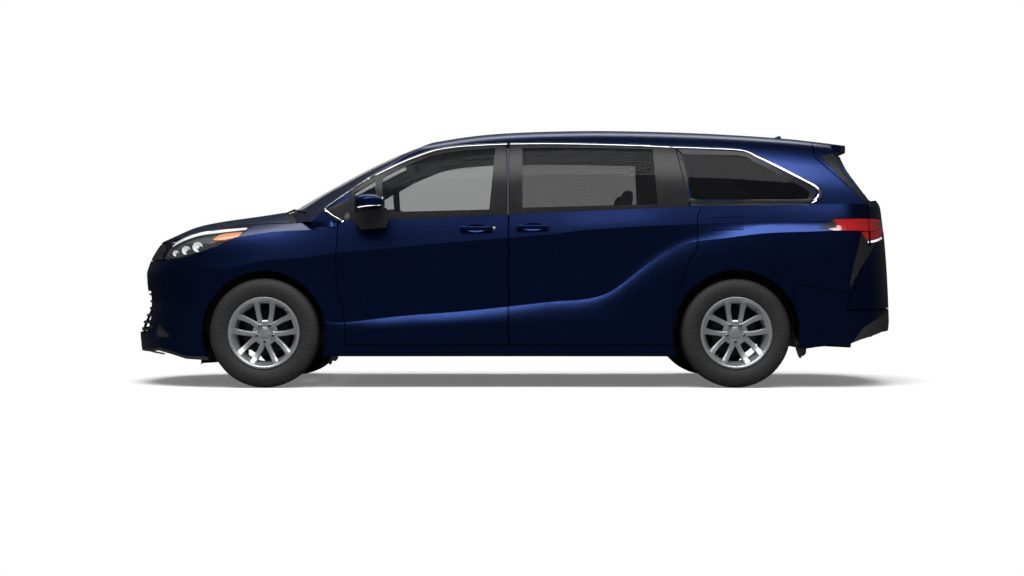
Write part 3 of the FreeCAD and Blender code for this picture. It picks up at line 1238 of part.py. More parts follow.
# Seats in three rows: cushion, leaning back and head rest in one side outline, on a plinth
floorTop = floorZ + floorThickness
cushionZ = 0.365 * height
backTop = 0.66 * height
seatWidth = 520
seatDepth = 500
seatEdge = 24
seatInnerY = 0.12 * halfWidth
benchHalf = 0.56 * halfWidth
plinthInset = 60
plinthReach = 400
plinthTop = cushionZ - 100
frontSeatX = -0.105 * halfLength
middleSeatX = 0.235 * halfLength
rearSeatX = 0.60 * halfLength
seatSideShares = [(0.0, -0.22), (-1.0, -0.18), (-1.0, 0.04), (-0.06, 0.0), (0.20, 1.0), (0.22, 1.39),
                  (0.40, 1.37), (0.40, 0.88), (0.26, -0.12)]


def seat(x, innerY, outerY):
    """Seat from its side outline: shares of its depth behind x, and of its back's height over the cushion."""
    rise = backTop - cushionZ
    outline = polygon([Vector(x + a * seatDepth, innerY, cushionZ + b * rise) for a, b in seatSideShares])
    body = outline.extrude(Vector(0, outerY - innerY, 0))
    plinth = box(x - plinthReach, x + plinthInset, innerY + plinthInset, outerY - plinthInset,
                 floorTop + seatGap, plinthTop)
    return largest(body.makeFillet(seatEdge, body.Edges).fuse(plinth))


save("front_seats", both(seat(frontSeatX, seatInnerY, seatInnerY + seatWidth)))
save("middle_seats", both(seat(middleSeatX, seatInnerY, seatInnerY + seatWidth)))
save("rear_seat", seat(rearSeatX, -benchHalf, benchHalf))
print("cabin")

# Door mirrors: a rounded housing, flat behind, on a foot that stands on the door
mirrorRearX = -0.3235 * halfLength
mirrorLong = 178
mirrorTall = 104
mirrorMiddleZ = 0.6905 * height
mirrorInnerY = 0.982 * halfWidth
mirrorReach = 198
mirrorPower = 2.6
mirrorPoints = 20
mirrorShares = [(0.0, 0.52, 0.62), (0.10, 0.80, 0.86), (0.32, 0.98, 1.0), (0.66, 1.0, 0.98),
                (0.88, 0.84, 0.80), (1.0, 0.50, 0.46)]
footShares = [(-0.398, 0.622), (-0.383, 0.655), (-0.3745, 0.675), (-0.3745, 0.6785), (-0.335, 0.6785),
              (-0.335, 0.655), (-0.311, 0.628), (-0.318, 0.598), (-0.380, 0.590)]
footInnerY = 0.90 * halfWidth
footOuterY = 1.022 * halfWidth
mirrorLoops = []
for reach, long, tall in mirrorShares:
    points = []
    for i in range(mirrorPoints):
        turn = 2 * math.pi * i / mirrorPoints
        ahead = math.copysign(abs(math.cos(turn)) ** (2 / mirrorPower), math.cos(turn))
        upright = math.copysign(abs(math.sin(turn)) ** (2 / mirrorPower), math.sin(turn))
        x = mirrorRearX + mirrorLong * long * (ahead - 1) / 2
        z = mirrorMiddleZ + mirrorTall * tall * upright / 2
        points.append(Vector(x, mirrorInnerY + reach * mirrorReach, z))
    loop = Part.BSplineCurve()
    loop.interpolate(points, PeriodicFlag=True)
    mirrorLoops.append(Part.Wire(loop.toShape()))
housing = Part.makeLoft(mirrorLoops, True, False)
mirrorFoot = across(sideFace(footShares), footInnerY, footOuterY)
doorSkin = skinVolume(-seatGap).common(right(belowBelt))
mirror = housing.fuse(mirrorFoot).cut(barrelVolume(-seatGap)).cut(doorSkin)
savePair("mirror", largest(mirror))

# Cowl between the bonnet's rear edge and the windscreen
cowlTop = 12
cowlWall = 18
cowlShares = ((-0.62, -0.40), (-0.86, 0.86), (0.4, 1.0))
cowlFace = sideFace(bonnetRegionShares, -panelGap)
cowl = underBonnet(cowlTop).cut(underBonnet(cowlTop + cowlWall)).common(shareBox(cowlShares))
cowl = cowl.common(across(cowlFace)).cut(aheadOfCowl(movingGap)).cut(behindWindscreen(-2 * seatGap))
save("cowl", largest(cowl))
print("done")
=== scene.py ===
import json
import math
import bmesh
import bpy
import numpy as np
from mathutils.bvhtree import BVHTree
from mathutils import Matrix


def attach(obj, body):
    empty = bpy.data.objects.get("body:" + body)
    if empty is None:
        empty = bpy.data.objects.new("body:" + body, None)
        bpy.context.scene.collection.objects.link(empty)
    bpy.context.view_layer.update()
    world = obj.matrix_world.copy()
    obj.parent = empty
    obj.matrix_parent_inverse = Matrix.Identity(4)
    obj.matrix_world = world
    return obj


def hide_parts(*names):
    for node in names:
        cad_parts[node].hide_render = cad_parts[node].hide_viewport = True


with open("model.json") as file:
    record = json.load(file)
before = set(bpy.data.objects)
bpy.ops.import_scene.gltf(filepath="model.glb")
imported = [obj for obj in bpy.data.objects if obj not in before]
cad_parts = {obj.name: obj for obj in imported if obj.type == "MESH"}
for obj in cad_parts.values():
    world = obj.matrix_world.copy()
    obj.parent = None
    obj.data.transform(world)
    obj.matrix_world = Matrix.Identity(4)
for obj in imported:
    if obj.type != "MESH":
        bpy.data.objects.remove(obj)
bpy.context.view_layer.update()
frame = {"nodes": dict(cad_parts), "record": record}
nodes = frame["nodes"]
print("frame loaded:", len(nodes), "nodes")

# Main places in metres, with where the nearly black quarter glass begins: the nose points to -X, left is -Y
car = {"frontAxleX": -1.6195, "rearAxleX": 1.4405, "wheelY": 0.868, "tyreRadius": 0.357, "quarterX": 1.03}
# The side view: place and distance in metres, focal length and middle of the picture in its pixels
camera = {"x": -0.012, "distance": 12.0, "z": 0.648, "focus": 1704.0, "middleU": 512.0, "middleV": 288.0,
          "sensor": 36.0}
# How the skin is felt: where rays start, what a miss reads, the step and limit of a slope, and the first
# guess, rounds and limits of y for a place in the picture
probe = {"start": 4.0, "miss": -0.2, "slopeStep": 0.02, "slopeMost": 3.0, "guess": 0.93, "rounds": 6,
         "least": 0.3, "most": 1.05}


# Shapes: every shape is (array of points, list of faces)
def grid(points, aroundRows=False, aroundColumns=False, closeStart=False, closeEnd=False):
    # quads over rows and columns of points, joined round where asked, with one face over an end
    rows, columns = points.shape[:2]
    index = np.arange(rows * columns).reshape(rows, columns)
    if aroundRows:
        index = np.vstack([index, index[:1]])
    if aroundColumns:
        index = np.hstack([index, index[:, :1]])
    corners = index[:-1, :-1], index[1:, :-1], index[1:, 1:], index[:-1, 1:]
    quads = np.stack(corners, -1).reshape(-1, 4).tolist()
    if closeStart:
        quads.append(list(range(columns))[::-1])
    if closeEnd:
        quads.append(list(range((rows - 1) * columns, rows * columns)))
    return points.reshape(-1, 3), quads


def merge(shapes):
    # several shapes as one
    points, faces, count = [], [], 0
    for p, f in shapes:
        points.append(np.asarray(p, float))
        faces += [[i + count for i in face] for face in f]
        count += len(p)
    return np.vstack(points), faces


def mirror(shape):
    # the same shape on the car's other side
    return shape[0] * np.array([1, -1, 1]), [face[::-1] for face in shape[1]]


def shift(shape, offset):
    # the same shape moved by an offset
    return shape[0] + np.asarray(offset, float), shape[1]


def turnY(shape, angle):
    # turned about the Y axis by an angle in radians, from Z towards X
    c, s = math.cos(angle), math.sin(angle)
    return shape[0] @ np.array([[c, 0, -s], [0, 1, 0], [s, 0, c]]), shape[1]


def unit(v):
    # vectors drawn to a length of one
    return v / np.maximum(np.linalg.norm(v, axis=-1, keepdims=True), 1e-9)


def smooth(points, count, fineSteps=24):
    # Catmull-Rom curve through the points, at even steps of its own length
    p = np.asarray(points, float)
    q = np.vstack([2 * p[0] - p[1], p, 2 * p[-1] - p[-2]])
    t = np.linspace(0, len(p) - 1 - 1e-9, fineSteps * len(p))
    i = t.astype(int)
    f = (t - i)[:, None]
    a, b, c, d = q[i], q[i + 1], q[i + 2], q[i + 3]
    fine = 0.5 * (2 * b + (c - a) * f + (2 * a - 5 * b + 4 * c - d) * f ** 2
                  + (3 * b - a - 3 * c + d) * f ** 3)
    run = np.concatenate([[0], np.cumsum(np.linalg.norm(np.diff(fine, axis=0), axis=1))])
    even = np.linspace(0, run[-1], count)
    return np.stack([np.interp(even, run, fine[:, k]) for k in range(fine.shape[1])], 1)


def squared(t, power):
    # a sine or cosine drawn towards plus or minus one, which squares the curve it makes
    return np.sign(t) * np.abs(t) ** power


def roundedLoop(wide, high, power=4, count=16):
    # closed superellipse, width by height, centred
    t = np.linspace(0, 2 * np.pi, count, endpoint=False)
    return np.stack([wide / 2 * squared(np.cos(t), 2 / power), high / 2 * squared(np.sin(t), 2 / power)], 1)


def carry(path, profile, up, scale=None):
    # a closed profile carried along a path: its first number goes sideways, its second along up
    path = np.asarray(path, float)
    up = np.broadcast_to(np.asarray(up, float), path.shape)
    ahead = unit(np.gradient(path, axis=0))
    side = unit(np.cross(up, ahead))
    rise = np.cross(ahead, side)
    size = np.ones(len(path)) if scale is None else np.asarray(scale, float)
    across = side[:, None] * profile[None, :, 0, None] + rise[:, None] * profile[None, :, 1, None]
    points = path[:, None] + across * size[:, None, None]
    return grid(points, False, True, True, True)


def revolve(profile, steps, closed=True):
    # a profile of (radius, reach along Y) turned about a level axle; an open one starts and ends on the axle
    profile = np.asarray(profile, float)
    t = np.linspace(0, 2 * np.pi, steps, endpoint=False)[:, None]
    r, a = profile[None, :, 0], profile[None, :, 1]
    return grid(np.stack([r * np.sin(t), a + 0 * t, r * np.cos(t)], -1), True, closed)


def slab(outline, low, high, inset=0.0):
    # flat plate in the x-z plane between two y values, its outer edge drawn in by inset
    outline = np.asarray(outline, float)
    centre = outline.mean(0)
    reach = unit(outline - centre)
    rows = []
    for y, cut in ((low, 0.0), (high - inset, 0.0), (high, inset)):
        edge = outline - reach * cut
        rows.append(np.stack([edge[:, 0], np.full(len(edge), y), edge[:, 1]], 1))
    return grid(np.stack(rows), False, True, True, True)


class Relief:
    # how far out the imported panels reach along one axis, from a grid of rays, thin gaps closed over
    def __init__(self, names, axis, sign, low, high, step):
        panels = [nodes[n].data for n in names if n in nodes]
        points, faces = merge([(np.array([v.co for v in panel.vertices]),
                                [list(p.vertices) for p in panel.polygons]) for panel in panels])
        tree = BVHTree.FromPolygons(points.tolist(), faces)
        self.low, self.step, self.sign = np.array(low), step, sign
        counts = ((np.array(high) - self.low) / step).astype(int) + 1
        across = [k for k in range(3) if k != axis]
        start, aim = [0.0, 0.0, 0.0], [0.0, 0.0, 0.0]
        start[axis], aim[axis] = probe["start"] * sign, -1.0 * sign
        found = np.full(counts, probe["miss"])
        for i in range(counts[0]):
            for j in range(counts[1]):
                start[across[0]] = low[0] + i * step
                start[across[1]] = low[1] + j * step
                hit = tree.ray_cast(start, aim)[0]
                if hit is not None:
                    found[i, j] = hit[axis] * sign
        for pick in (np.maximum, np.minimum):
            wide = np.pad(found, 1, mode="edge")
            rows = pick(pick(wide[:-2], wide[1:-1]), wide[2:])
            found = pick(pick(rows[:, :-2], rows[:, 1:-1]), rows[:, 2:])
        self.found = found

    def at(self, a, b):
        # the reach between the grid's points, mixed from the four around
        a, b = np.broadcast_arrays(np.asarray(a, float), np.asarray(b, float))
        u = np.clip((a - self.low[0]) / self.step, 0, self.found.shape[0] - 1.001)
        v = np.clip((b - self.low[1]) / self.step, 0, self.found.shape[1] - 1.001)
        i, j = u.astype(int), v.astype(int)
        f, g = u - i, v - j
        z = self.found
        return self.sign * ((z[i, j] * (1 - g) + z[i, j + 1] * g) * (1 - f)
                            + (z[i + 1, j] * (1 - g) + z[i + 1, j + 1] * g) * f)


skinWords = ("body", "rear", "front", "sliding", "side", "headlamps", "tail", "tailgate", "roof", "bonnet",
             "windscreen")
sideNodes = [n for n in nodes if n.split("_")[0] in skinWords
             and not n.endswith(("seats", "seat", "axle", "subframe"))]
side = Relief(sideNodes, axis=1, sign=1, low=(-2.6, 0.16), high=(2.6, 1.74), step=0.01)
print("side relief measured")


def sideNormal(x, z):
    # outward direction of the right side's skin, from its slopes along and up
    d, most = probe["slopeStep"], probe["slopeMost"]
    along = (side.at(x + d, z) - side.at(x - d, z)) / (2 * d)
    upward = (side.at(x, z + d) - side.at(x, z - d)) / (2 * d)
    slopes = -np.clip(along, -most, most), np.ones_like(along), -np.clip(upward, -most, most)
    return unit(np.stack(slopes, -1))


def seen(picture, proud=0.0):
    # points of the right side's skin that the side view shows at these picture places, moved out by proud
    picture = np.asarray(picture, float)
    y = np.full(len(picture), probe["guess"])
    for _ in range(probe["rounds"]):
        away = camera["distance"] - y
        x = camera["x"] + (picture[:, 0] - camera["middleU"]) * away / camera["focus"]
        z = camera["z"] - (picture[:, 1] - camera["middleV"]) * away / camera["focus"]
        y = np.clip(side.at(x, z), probe["least"], probe["most"])
    return np.stack([x, y, z], 1) + sideNormal(x, z) * proud


def band(first, second, proud, depth, count, across):
    # a plate on the skin between two picture curves: its face stands proud, its back lies depth below
    a, b = smooth(first, count), smooth(second, count)
    mix = np.linspace(0, 1, across)[:, None, None]
    flat = (a[None] * (1 - mix) + b[None] * mix).reshape(-1, 2)
    outer = seen(flat, proud).reshape(across, count, 3)
    inner = seen(flat, proud - depth).reshape(across, count, 3)
    return grid(np.concatenate([outer, inner[::-1]]).transpose(1, 0, 2), False, True, True, True)


def bridge(first, second, proud=0.0015, depth=0.004, count=30):
    # a plate drawn straight across from one picture curve on the skin to the other, as over a gap
    outer = np.stack([seen(smooth(curve, count), proud) for curve in (first, second)])
    inner = np.stack([seen(smooth(curve, count), proud - depth) for curve in (second, first)])
    return grid(np.concatenate([outer, inner]).transpose(1, 0, 2), False, True, True, True)


def block(size, centre, power=0.3, lean=0.0, rows=25, columns=48):
    # superellipsoid: a block with flat sides and round edges, sheared back by lean as it rises
    v = np.linspace(-np.pi / 2, np.pi / 2, rows)[:, None]
    u = np.linspace(0, 2 * np.pi, columns, endpoint=False)[None]
    x = squared(np.cos(v), power) * squared(np.cos(u), power) * size[0] / 2
    y = squared(np.cos(v), power) * squared(np.sin(u), power) * size[1] / 2
    z = squared(np.sin(v), power) * size[2] / 2 + 0 * u
    return shift(grid(np.stack([x + lean * z, y, z], -1), False, True), centre)


def tube(path, radius, count=10):
    # a round rod along a path, its section set by Z, or by Y where the path climbs
    path = np.asarray(path, float)
    run = path[-1] - path[0]
    up = (0, 0, 1) if abs(run[2]) < 0.8 * np.linalg.norm(run) else (0, 1, 0)
    return carry(path, roundedLoop(2 * radius, 2 * radius, 2, count), up)


# Shader maths: one wrapper for a socket, so that sums on wires add their own nodes
class Wire:
    def __init__(self, tree, socket=None):
        self.tree, self.socket = tree, socket

    def node(self, kind, settings=None, inputs=None, output=0):
        # a new node with its settings, then its inputs as values or wires; gives the wanted output
        made = self.tree.nodes.new("ShaderNode" + kind)
        for key, value in (settings or {}).items():
            setattr(made, key, value)
        for key, value in (inputs or {}).items():
            if isinstance(value, Wire):
                self.tree.links.new(value.socket, made.inputs[key])
            else:
                made.inputs[key].default_value = value
        return Wire(self.tree, made.outputs[output])

    def sums(self, operation, *values):
        return self.node("Math", {"operation": operation}, dict(enumerate(values)))

    def __add__(self, other):
        return self.sums("ADD", self, other)

    __radd__ = __add__

    def __mul__(self, other):
        return self.sums("MULTIPLY", self, other)

    __rmul__ = __mul__

    def __sub__(self, other):
        return self.sums("SUBTRACT", self, other)

    def __rsub__(self, other):
        return self.sums("SUBTRACT", other, self)


def place(wire):
    # where a point lies on the object, in metres
    return wire.node("TexCoord", output="Object")


def noise(wire, scale, detail=2.0, rough=0.5):
    # cloudy pattern from 0 to 1
    return wire.node("TexNoise", None, {"Vector": place(wire), "Scale": scale, "Detail": detail,
                                        "Roughness": rough}, "Fac")


def tones(wire, factor, first, second):
    # from one colour to another by a factor
    return wire.node("Mix", {"data_type": "RGBA"}, {"Factor": factor, "A": (*first, 1), "B": (*second, 1)}, 2)


def bump(wire, height, strength, distance):
    # normals tilted by a height pattern that rises by distance, in metres
    return wire.node("Bump", None, {"Height": height, "Strength": strength, "Distance": distance}, "Normal")


def blankTree(owner, kind):
    # an emptied node tree of a material or a world, and its output's socket
    owner.use_nodes = True
    owner.node_tree.nodes.clear()
    return Wire(owner.node_tree), owner.node_tree.nodes.new("ShaderNode" + kind).inputs[0]


def material(name, recipe):
    # a Principled material; recipe returns its inputs, numbers or wires
    made = bpy.data.materials.new(name)
    wire, output = blankTree(made, "OutputMaterial")
    tree = made.node_tree
    shader = tree.nodes.new("ShaderNodeBsdfPrincipled")
    for key, value in recipe(wire).items():
        if isinstance(value, Wire):
            tree.links.new(value.socket, shader.inputs[key])
        else:
            shader.inputs[key].default_value = value
    tree.links.new(shader.outputs[0], output)
    return made


paint = {"deep": (0.0075, 0.016, 0.070), "bright": (0.014, 0.031, 0.125), "flakes": 900.0, "rough": 0.26,
         "metallic": 0.94, "coat": 0.12, "coatRough": 0.12, "coatIor": 1.3}


def paintRecipe(w):
    # deep blue metallic paint: fine flake in tone and tilt under a thin clear coat
    flake = w.node("TexVoronoi", None, {"Vector": place(w), "Scale": paint["flakes"]}, "Color")
    grain = w.node("SeparateColor", None, {"Color": flake}, 0)
    cloud = noise(w, 2.5, 3.0)
    return {"Base Color": tones(w, grain * 0.5 + cloud * 0.4, paint["deep"], paint["bright"]),
            "Metallic": paint["metallic"], "Roughness": grain * 0.05 + paint["rough"],
            "Coat Weight": paint["coat"], "Coat Roughness": paint["coatRough"], "Coat IOR": paint["coatIor"],
            "Normal": bump(w, grain, 0.02, 0.0003)}


def glossBlackRecipe(w):
    # smooth black plastic with a faint haze
    haze = noise(w, 14.0, 4.0)
    return {"Base Color": tones(w, haze, (0.008, 0.008, 0.009), (0.016, 0.016, 0.017)),
            "Roughness": haze * 0.08 + 0.22, "Specular IOR Level": 0.16}


def grainedRecipe(first, second, rough, scale=700.0):
    def recipe(w):
        # moulded plastic with a fine leather-like grain and faint dusty patches
        cell = w.node("TexVoronoi", {"feature": "DISTANCE_TO_EDGE"}, {"Vector": place(w), "Scale": scale},
                      "Distance")
        patch = noise(w, 6.0, 4.0, 0.6)
        return {"Base Color": tones(w, patch, first, second), "Roughness": patch * 0.15 + rough,
                "Normal": bump(w, cell, 0.35, 0.0006)}
    return recipe


def glassRecipe(tone, alpha, shine=0.07):
    def recipe(w):
        # tinted glass: its tone covers what is behind by alpha, under a thin uneven film
        film = noise(w, 5.0, 3.0)
        return {"Base Color": (*tone, 1), "Roughness": film * 0.02 + 0.015, "Alpha": alpha, "IOR": 1.45,
                "Specular IOR Level": shine}
    return recipe


def metalRecipe(first, second, rough, spread=0.1, scale=60.0, metallic=1.0):
    def recipe(w):
        # metal whose tone and roughness change in small patches
        patch = noise(w, scale, 5.0, 0.6)
        return {"Base Color": tones(w, patch, first, second), "Metallic": metallic,
                "Roughness": patch * spread + rough}
    return recipe


def rubberRecipe(w):
    # dull black rubber, a little greyer in patches, with a fine grain
    spot = noise(w, 35.0, 5.0, 0.6)
    fine = noise(w, 600.0, 2.0)
    return {"Base Color": tones(w, spot, (0.0065, 0.0065, 0.007), (0.015, 0.015, 0.0155)),
            "Roughness": spot * 0.18 + 0.62, "Normal": bump(w, fine, 0.15, 0.0004)}


def clothRecipe(first, second):
    def recipe(w):
        # plain woven seat cloth: two crossed sets of threads, with a slow change of tone
        thread = {"Vector": place(w), "Scale": 220.0, "Distortion": 0.6}
        warp = w.node("TexWave", {"bands_direction": "X"}, thread, "Fac")
        weft = w.node("TexWave", {"bands_direction": "Z"}, thread, "Fac")
        weave = warp * weft
        patch = noise(w, 8.0, 3.0)
        return {"Base Color": tones(w, weave * 0.6 + patch * 0.4, first, second),
                "Roughness": weave * 0.1 + 0.82, "Sheen Weight": 0.25, "Normal": bump(w, weave, 0.5, 0.0012)}
    return recipe


def lampRedRecipe(w):
    # ribbed red lens under a clear skin
    ribs = w.node("TexWave", {"bands_direction": "Z"}, {"Vector": place(w), "Scale": 60.0}, "Fac")
    return {"Base Color": tones(w, ribs, (0.10, 0.004, 0.005), (0.42, 0.012, 0.012)),
            "Roughness": ribs * 0.08 + 0.08, "Coat Weight": 1.0, "Coat Roughness": 0.02}


def litRecipe(tone, glow):
    def recipe(w):
        # moulded light guide with fine ribs and a weak glow of its own
        ribs = w.node("TexWave", {"bands_direction": "X"}, {"Vector": place(w), "Scale": 90.0}, "Fac")
        return {"Base Color": tones(w, ribs, tuple(0.8 * t for t in tone), tone),
                "Emission Color": tones(w, ribs, tuple(0.9 * t for t in tone), tone),
                "Emission Strength": glow, "Roughness": ribs * 0.1 + 0.2, "Coat Weight": 0.6}
    return recipe


finish = {
    "blue": material("navyPaint", paintRecipe),
    "blackGloss": material("glossBlack", glossBlackRecipe),
    "blackPlastic": material("grainedBlack", grainedRecipe((0.012, 0.012, 0.013), (0.022, 0.022, 0.023),
                                                           rough=0.55)),
    "cabinPlastic": material("cabinPlastic", grainedRecipe((0.045, 0.045, 0.047), (0.065, 0.064, 0.063),
                                                           rough=0.6)),
    "glassClear": material("clearGlass", glassRecipe((0.012, 0.014, 0.0145), alpha=0.29)),
    "glassDark": material("darkGlass", glassRecipe((0.004, 0.004, 0.005), alpha=0.82)),
    "glassSlide": material("tintedGlass", glassRecipe((0.010, 0.010, 0.011), alpha=0.45)),
    "lens": material("lampLens", glassRecipe((0.30, 0.31, 0.33), alpha=0.07, shine=0.5)),
    "lampRed": material("redLens", lampRedRecipe),
    "lampWhite": material("lightStrip", litRecipe((0.80, 0.82, 0.86), glow=0.55)),
    "lampAmber": material("amberLens", litRecipe((0.55, 0.16, 0.03), glow=0.05)),
    "mirrorFace": material("mirrorFace", metalRecipe((0.55, 0.57, 0.58), (0.60, 0.62, 0.63),
                                                     rough=0.02, spread=0.01)),
    "bowl": material("lampBowl", litRecipe((0.62, 0.64, 0.68), glow=0.22)),
    "chrome": material("brightTrim", metalRecipe((0.74, 0.75, 0.77), (0.86, 0.87, 0.88),
                                                 rough=0.08, spread=0.06)),
    "alloy": material("machinedAlloy", metalRecipe((0.42, 0.43, 0.445), (0.54, 0.55, 0.565),
                                                   rough=0.26, metallic=0.80)),
    "steel": material("plainSteel", metalRecipe((0.25, 0.25, 0.25), (0.40, 0.39, 0.38),
                                                rough=0.35, spread=0.2, scale=25.0)),
    "castMetal": material("castMetal", metalRecipe((0.05, 0.05, 0.052), (0.10, 0.098, 0.095),
                                                   rough=0.5, spread=0.2, scale=40.0)),
    "tyre": material("tyreRubber", rubberRecipe),
    "cloth": material("seatCloth", clothRecipe((0.030, 0.030, 0.032), (0.070, 0.069, 0.068))),
}
cadFinish = {"blue": "blue", "black_gloss": "blackGloss", "black_plastic": "blackPlastic",
             "cabin_plastic": "cabinPlastic", "cloth": "cloth", "glass_clear": "glassClear",
             "glass_dark": "glassDark", "lamp_clear": "lens", "lamp_red": "lampRed", "alloy": "alloy",
             "steel": "steel", "cast_metal": "castMetal", "tyre": "tyre"}
for part in frame["record"]["subparts"]:
    mesh = nodes[part["node"]].data
    mesh.materials.clear()
    mesh.materials.append(finish[cadFinish[part["material_slot"]]])


def secondLook(mesh, look, axis, low, high):
    # a second finish on the faces whose middles lie between two places along an axis
    mesh.materials.append(finish[look])
    middles = np.empty(3 * len(mesh.polygons))
    mesh.polygons.foreach_get("center", middles)
    chosen = (middles[axis::3] > low) & (middles[axis::3] < high)
    mesh.polygons.foreach_set("material_index", chosen.astype(np.int32))


nodes["cowl"].data.materials[0] = finish["blackGloss"]
sideGlass = nodes["side_glass"].data  # lighter in the sliding doors, nearly black behind them
sideGlass.materials[0] = finish["glassSlide"]
secondLook(sideGlass, "glassDark", 0, car["quarterX"], math.inf)
print("materials made:", len(finish))


def meshObject(name, shape):
    # an object at the origin with its place in its mesh
    mesh = bpy.data.meshes.new(name)
    mesh.from_pydata(np.asarray(shape[0]).tolist(), [], shape[1])
    made = bpy.data.objects.new(name, mesh)
    bpy.context.scene.collection.objects.link(made)
    return made


def piece(name, shape, body, look, slot, replaces=(), angle=35, bevel=0.0):
    # a finished piece riding on a body; edges sharper than angle, in degrees, stay sharp
    made = meshObject(name, shape)
    mesh = made.data
    work = bmesh.new()
    work.from_mesh(mesh)
    bmesh.ops.remove_doubles(work, verts=work.verts, dist=1e-5)
    bmesh.ops.recalc_face_normals(work, faces=work.faces)
    work.to_mesh(mesh)
    work.free()
    mesh.shade_smooth()
    mesh.set_sharp_from_angle(angle=math.radians(angle))
    mesh.materials.append(finish[look])
    if bevel:
        edge = made.modifiers.new("edge", "BEVEL")
        edge.width = bevel
        edge.segments = 2
        edge.limit_method = "ANGLE"
    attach(made, body)
    if replaces:
        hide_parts(*replaces)
    return made


def onBothSides(name, shape, body, look, slot, **more):
    # the right-hand shape and its mirror image; body may differ by side
    names = body if isinstance(body, tuple) else (body, body)
    for end, made, rider in (("Left", mirror(shape), names[0]), ("Right", shape, names[1])):
        piece(name + end, made, rider, look, slot, **more)


# Wheels: tyre with tread blocks, ten spokes in five pairs, hub, nuts, plain cap and valve
wheel = {"spokePairs": 5, "nutCircle": 0.05715, "nutFoot": 0.040, "valveRadius": 0.203, "valveAngle": 0.7}
# A spoke's foot and length along the radius, its face's place on the axle, and what each curve adds to it
spoke = {"steps": 22, "foot": 0.050, "length": 0.163, "face": 0.052, "rise": 0.016, "dish": 0.010,
         "flare": 0.026, "spread": 0.026, "spreadGrowth": 0.026, "bow": 0.004, "width": 0.0215,
         "waist": 0.0035, "toe": 0.006, "depth": 0.030, "thinning": 0.008}
web = {"steps": 12, "from": 0.196, "to": 0.216, "half": 0.054, "innerShare": 0.6, "back": 0.055,
       "front": 0.088}
# Turned sections as (radius, reach along the axle): rim, hub, nut and cap
wheelSections = {
    "rim": [(0.2185, 0.084), (0.224, 0.0985), (0.2325, 0.1005), (0.2325, 0.104), (0.229, 0.1055),
            (0.221, 0.1045), (0.2145, 0.100), (0.211, 0.092), (0.2075, 0.076), (0.199, 0.06), (0.190, 0.03),
            (0.186, -0.03), (0.200, -0.06), (0.214, -0.085), (0.229, -0.1045), (0.2325, -0.103),
            (0.2325, -0.0995), (0.222, -0.0965), (0.218, -0.080), (0.206, -0.055), (0.194, -0.03),
            (0.196, 0.03), (0.206, 0.06)],
    "hub": [(0.0, 0.020), (0.0, 0.044), (0.030, 0.044), (0.033, 0.047), (0.036, 0.0445), (0.052, 0.044),
            (0.074, 0.047), (0.082, 0.043), (0.084, 0.020)],
    "nut": [(0.0, 0.0), (0.0115, 0.0), (0.0115, 0.017), (0.009, 0.0215), (0.0, 0.0225)],
    "cap": [(0.0, 0.044), (0.0285, 0.044), (0.0285, 0.052), (0.025, 0.056), (0.012, 0.0585), (0.0, 0.059)],
}
# Half of the tyre's section, from the bead over the side wall to the middle of the tread with its two grooves
tyre = {"section": [(0.226, 0.086), (0.234, 0.0965), (0.243, 0.1015), (0.262, 0.1125), (0.288, 0.1172),
                    (0.306, 0.1168), (0.322, 0.1135), (0.336, 0.107), (0.3455, 0.0985), (0.351, 0.089),
                    (0.3535, 0.080), (0.3555, 0.0665), (0.3475, 0.0645), (0.3475, 0.0555),
                    (0.3565, 0.0535), (0.357, 0.026), (0.3485, 0.024), (0.3485, 0.014), (0.357, 0.012),
                    (0.357, 0.0)],
        "inner": [(0.222, -0.080), (0.222, 0.080)], "blocks": 66, "stepsPerBlock": 6, "sipeLean": 0.9,
        "sipeShare": 0.17, "sipeDepth": 0.0055, "treadFrom": 0.352, "shoulderFrom": 0.334,
        "shoulderInner": 0.079, "shoulderOuter": 0.108, "shoulderDepth": 0.003, "ringFrom": 0.111,
        "ringRadius": 0.297, "ringHalf": 0.011, "ribs": 60, "ribHeight": 0.0012}


def tyreShape():
    # a rounded section turned about the axle, its tread cut by four grooves and by cross sipes that go on
    # into the shoulders, with fine ribs in a ring on the side wall
    section = np.array(tyre["section"])
    profile = np.vstack([section, section[-2::-1] * (1, -1)])
    steps = tyre["blocks"] * tyre["stepsPerBlock"]
    t = np.linspace(0, 2 * np.pi, steps, endpoint=False)
    r = np.repeat(profile[None, :, 0], steps, 0)
    y = np.repeat(profile[None, :, 1], steps, 0)
    out = np.abs(y)
    turn = (t[:, None] + out * tyre["sipeLean"]) * tyre["blocks"] / (2 * np.pi)
    sipe = (turn % 1.0) < tyre["sipeShare"]
    r = np.where(sipe & (r > tyre["treadFrom"]), r - tyre["sipeDepth"], r)
    shoulder = (out > tyre["shoulderInner"]) & (out < tyre["shoulderOuter"]) & (r > tyre["shoulderFrom"])
    r = np.where(sipe & shoulder, r - tyre["shoulderDepth"], r)
    ring = (out > tyre["ringFrom"]) & (np.abs(r - tyre["ringRadius"]) < tyre["ringHalf"])
    rib = (t[:, None] * tyre["ribs"] / np.pi) % 2 < 1
    y = np.where(ring, y + np.sign(y) * tyre["ribHeight"] * rib, y)
    points = np.stack([r * np.sin(t)[:, None], y, r * np.cos(t)[:, None]], -1)
    inner = np.array(tyre["inner"])
    shell = np.stack([inner[None, :, 0] * np.sin(t)[:, None], inner[None, :, 1] + 0 * t[:, None],
                      inner[None, :, 0] * np.cos(t)[:, None]], -1)
    return grid(np.concatenate([points, shell], 1), True, True)


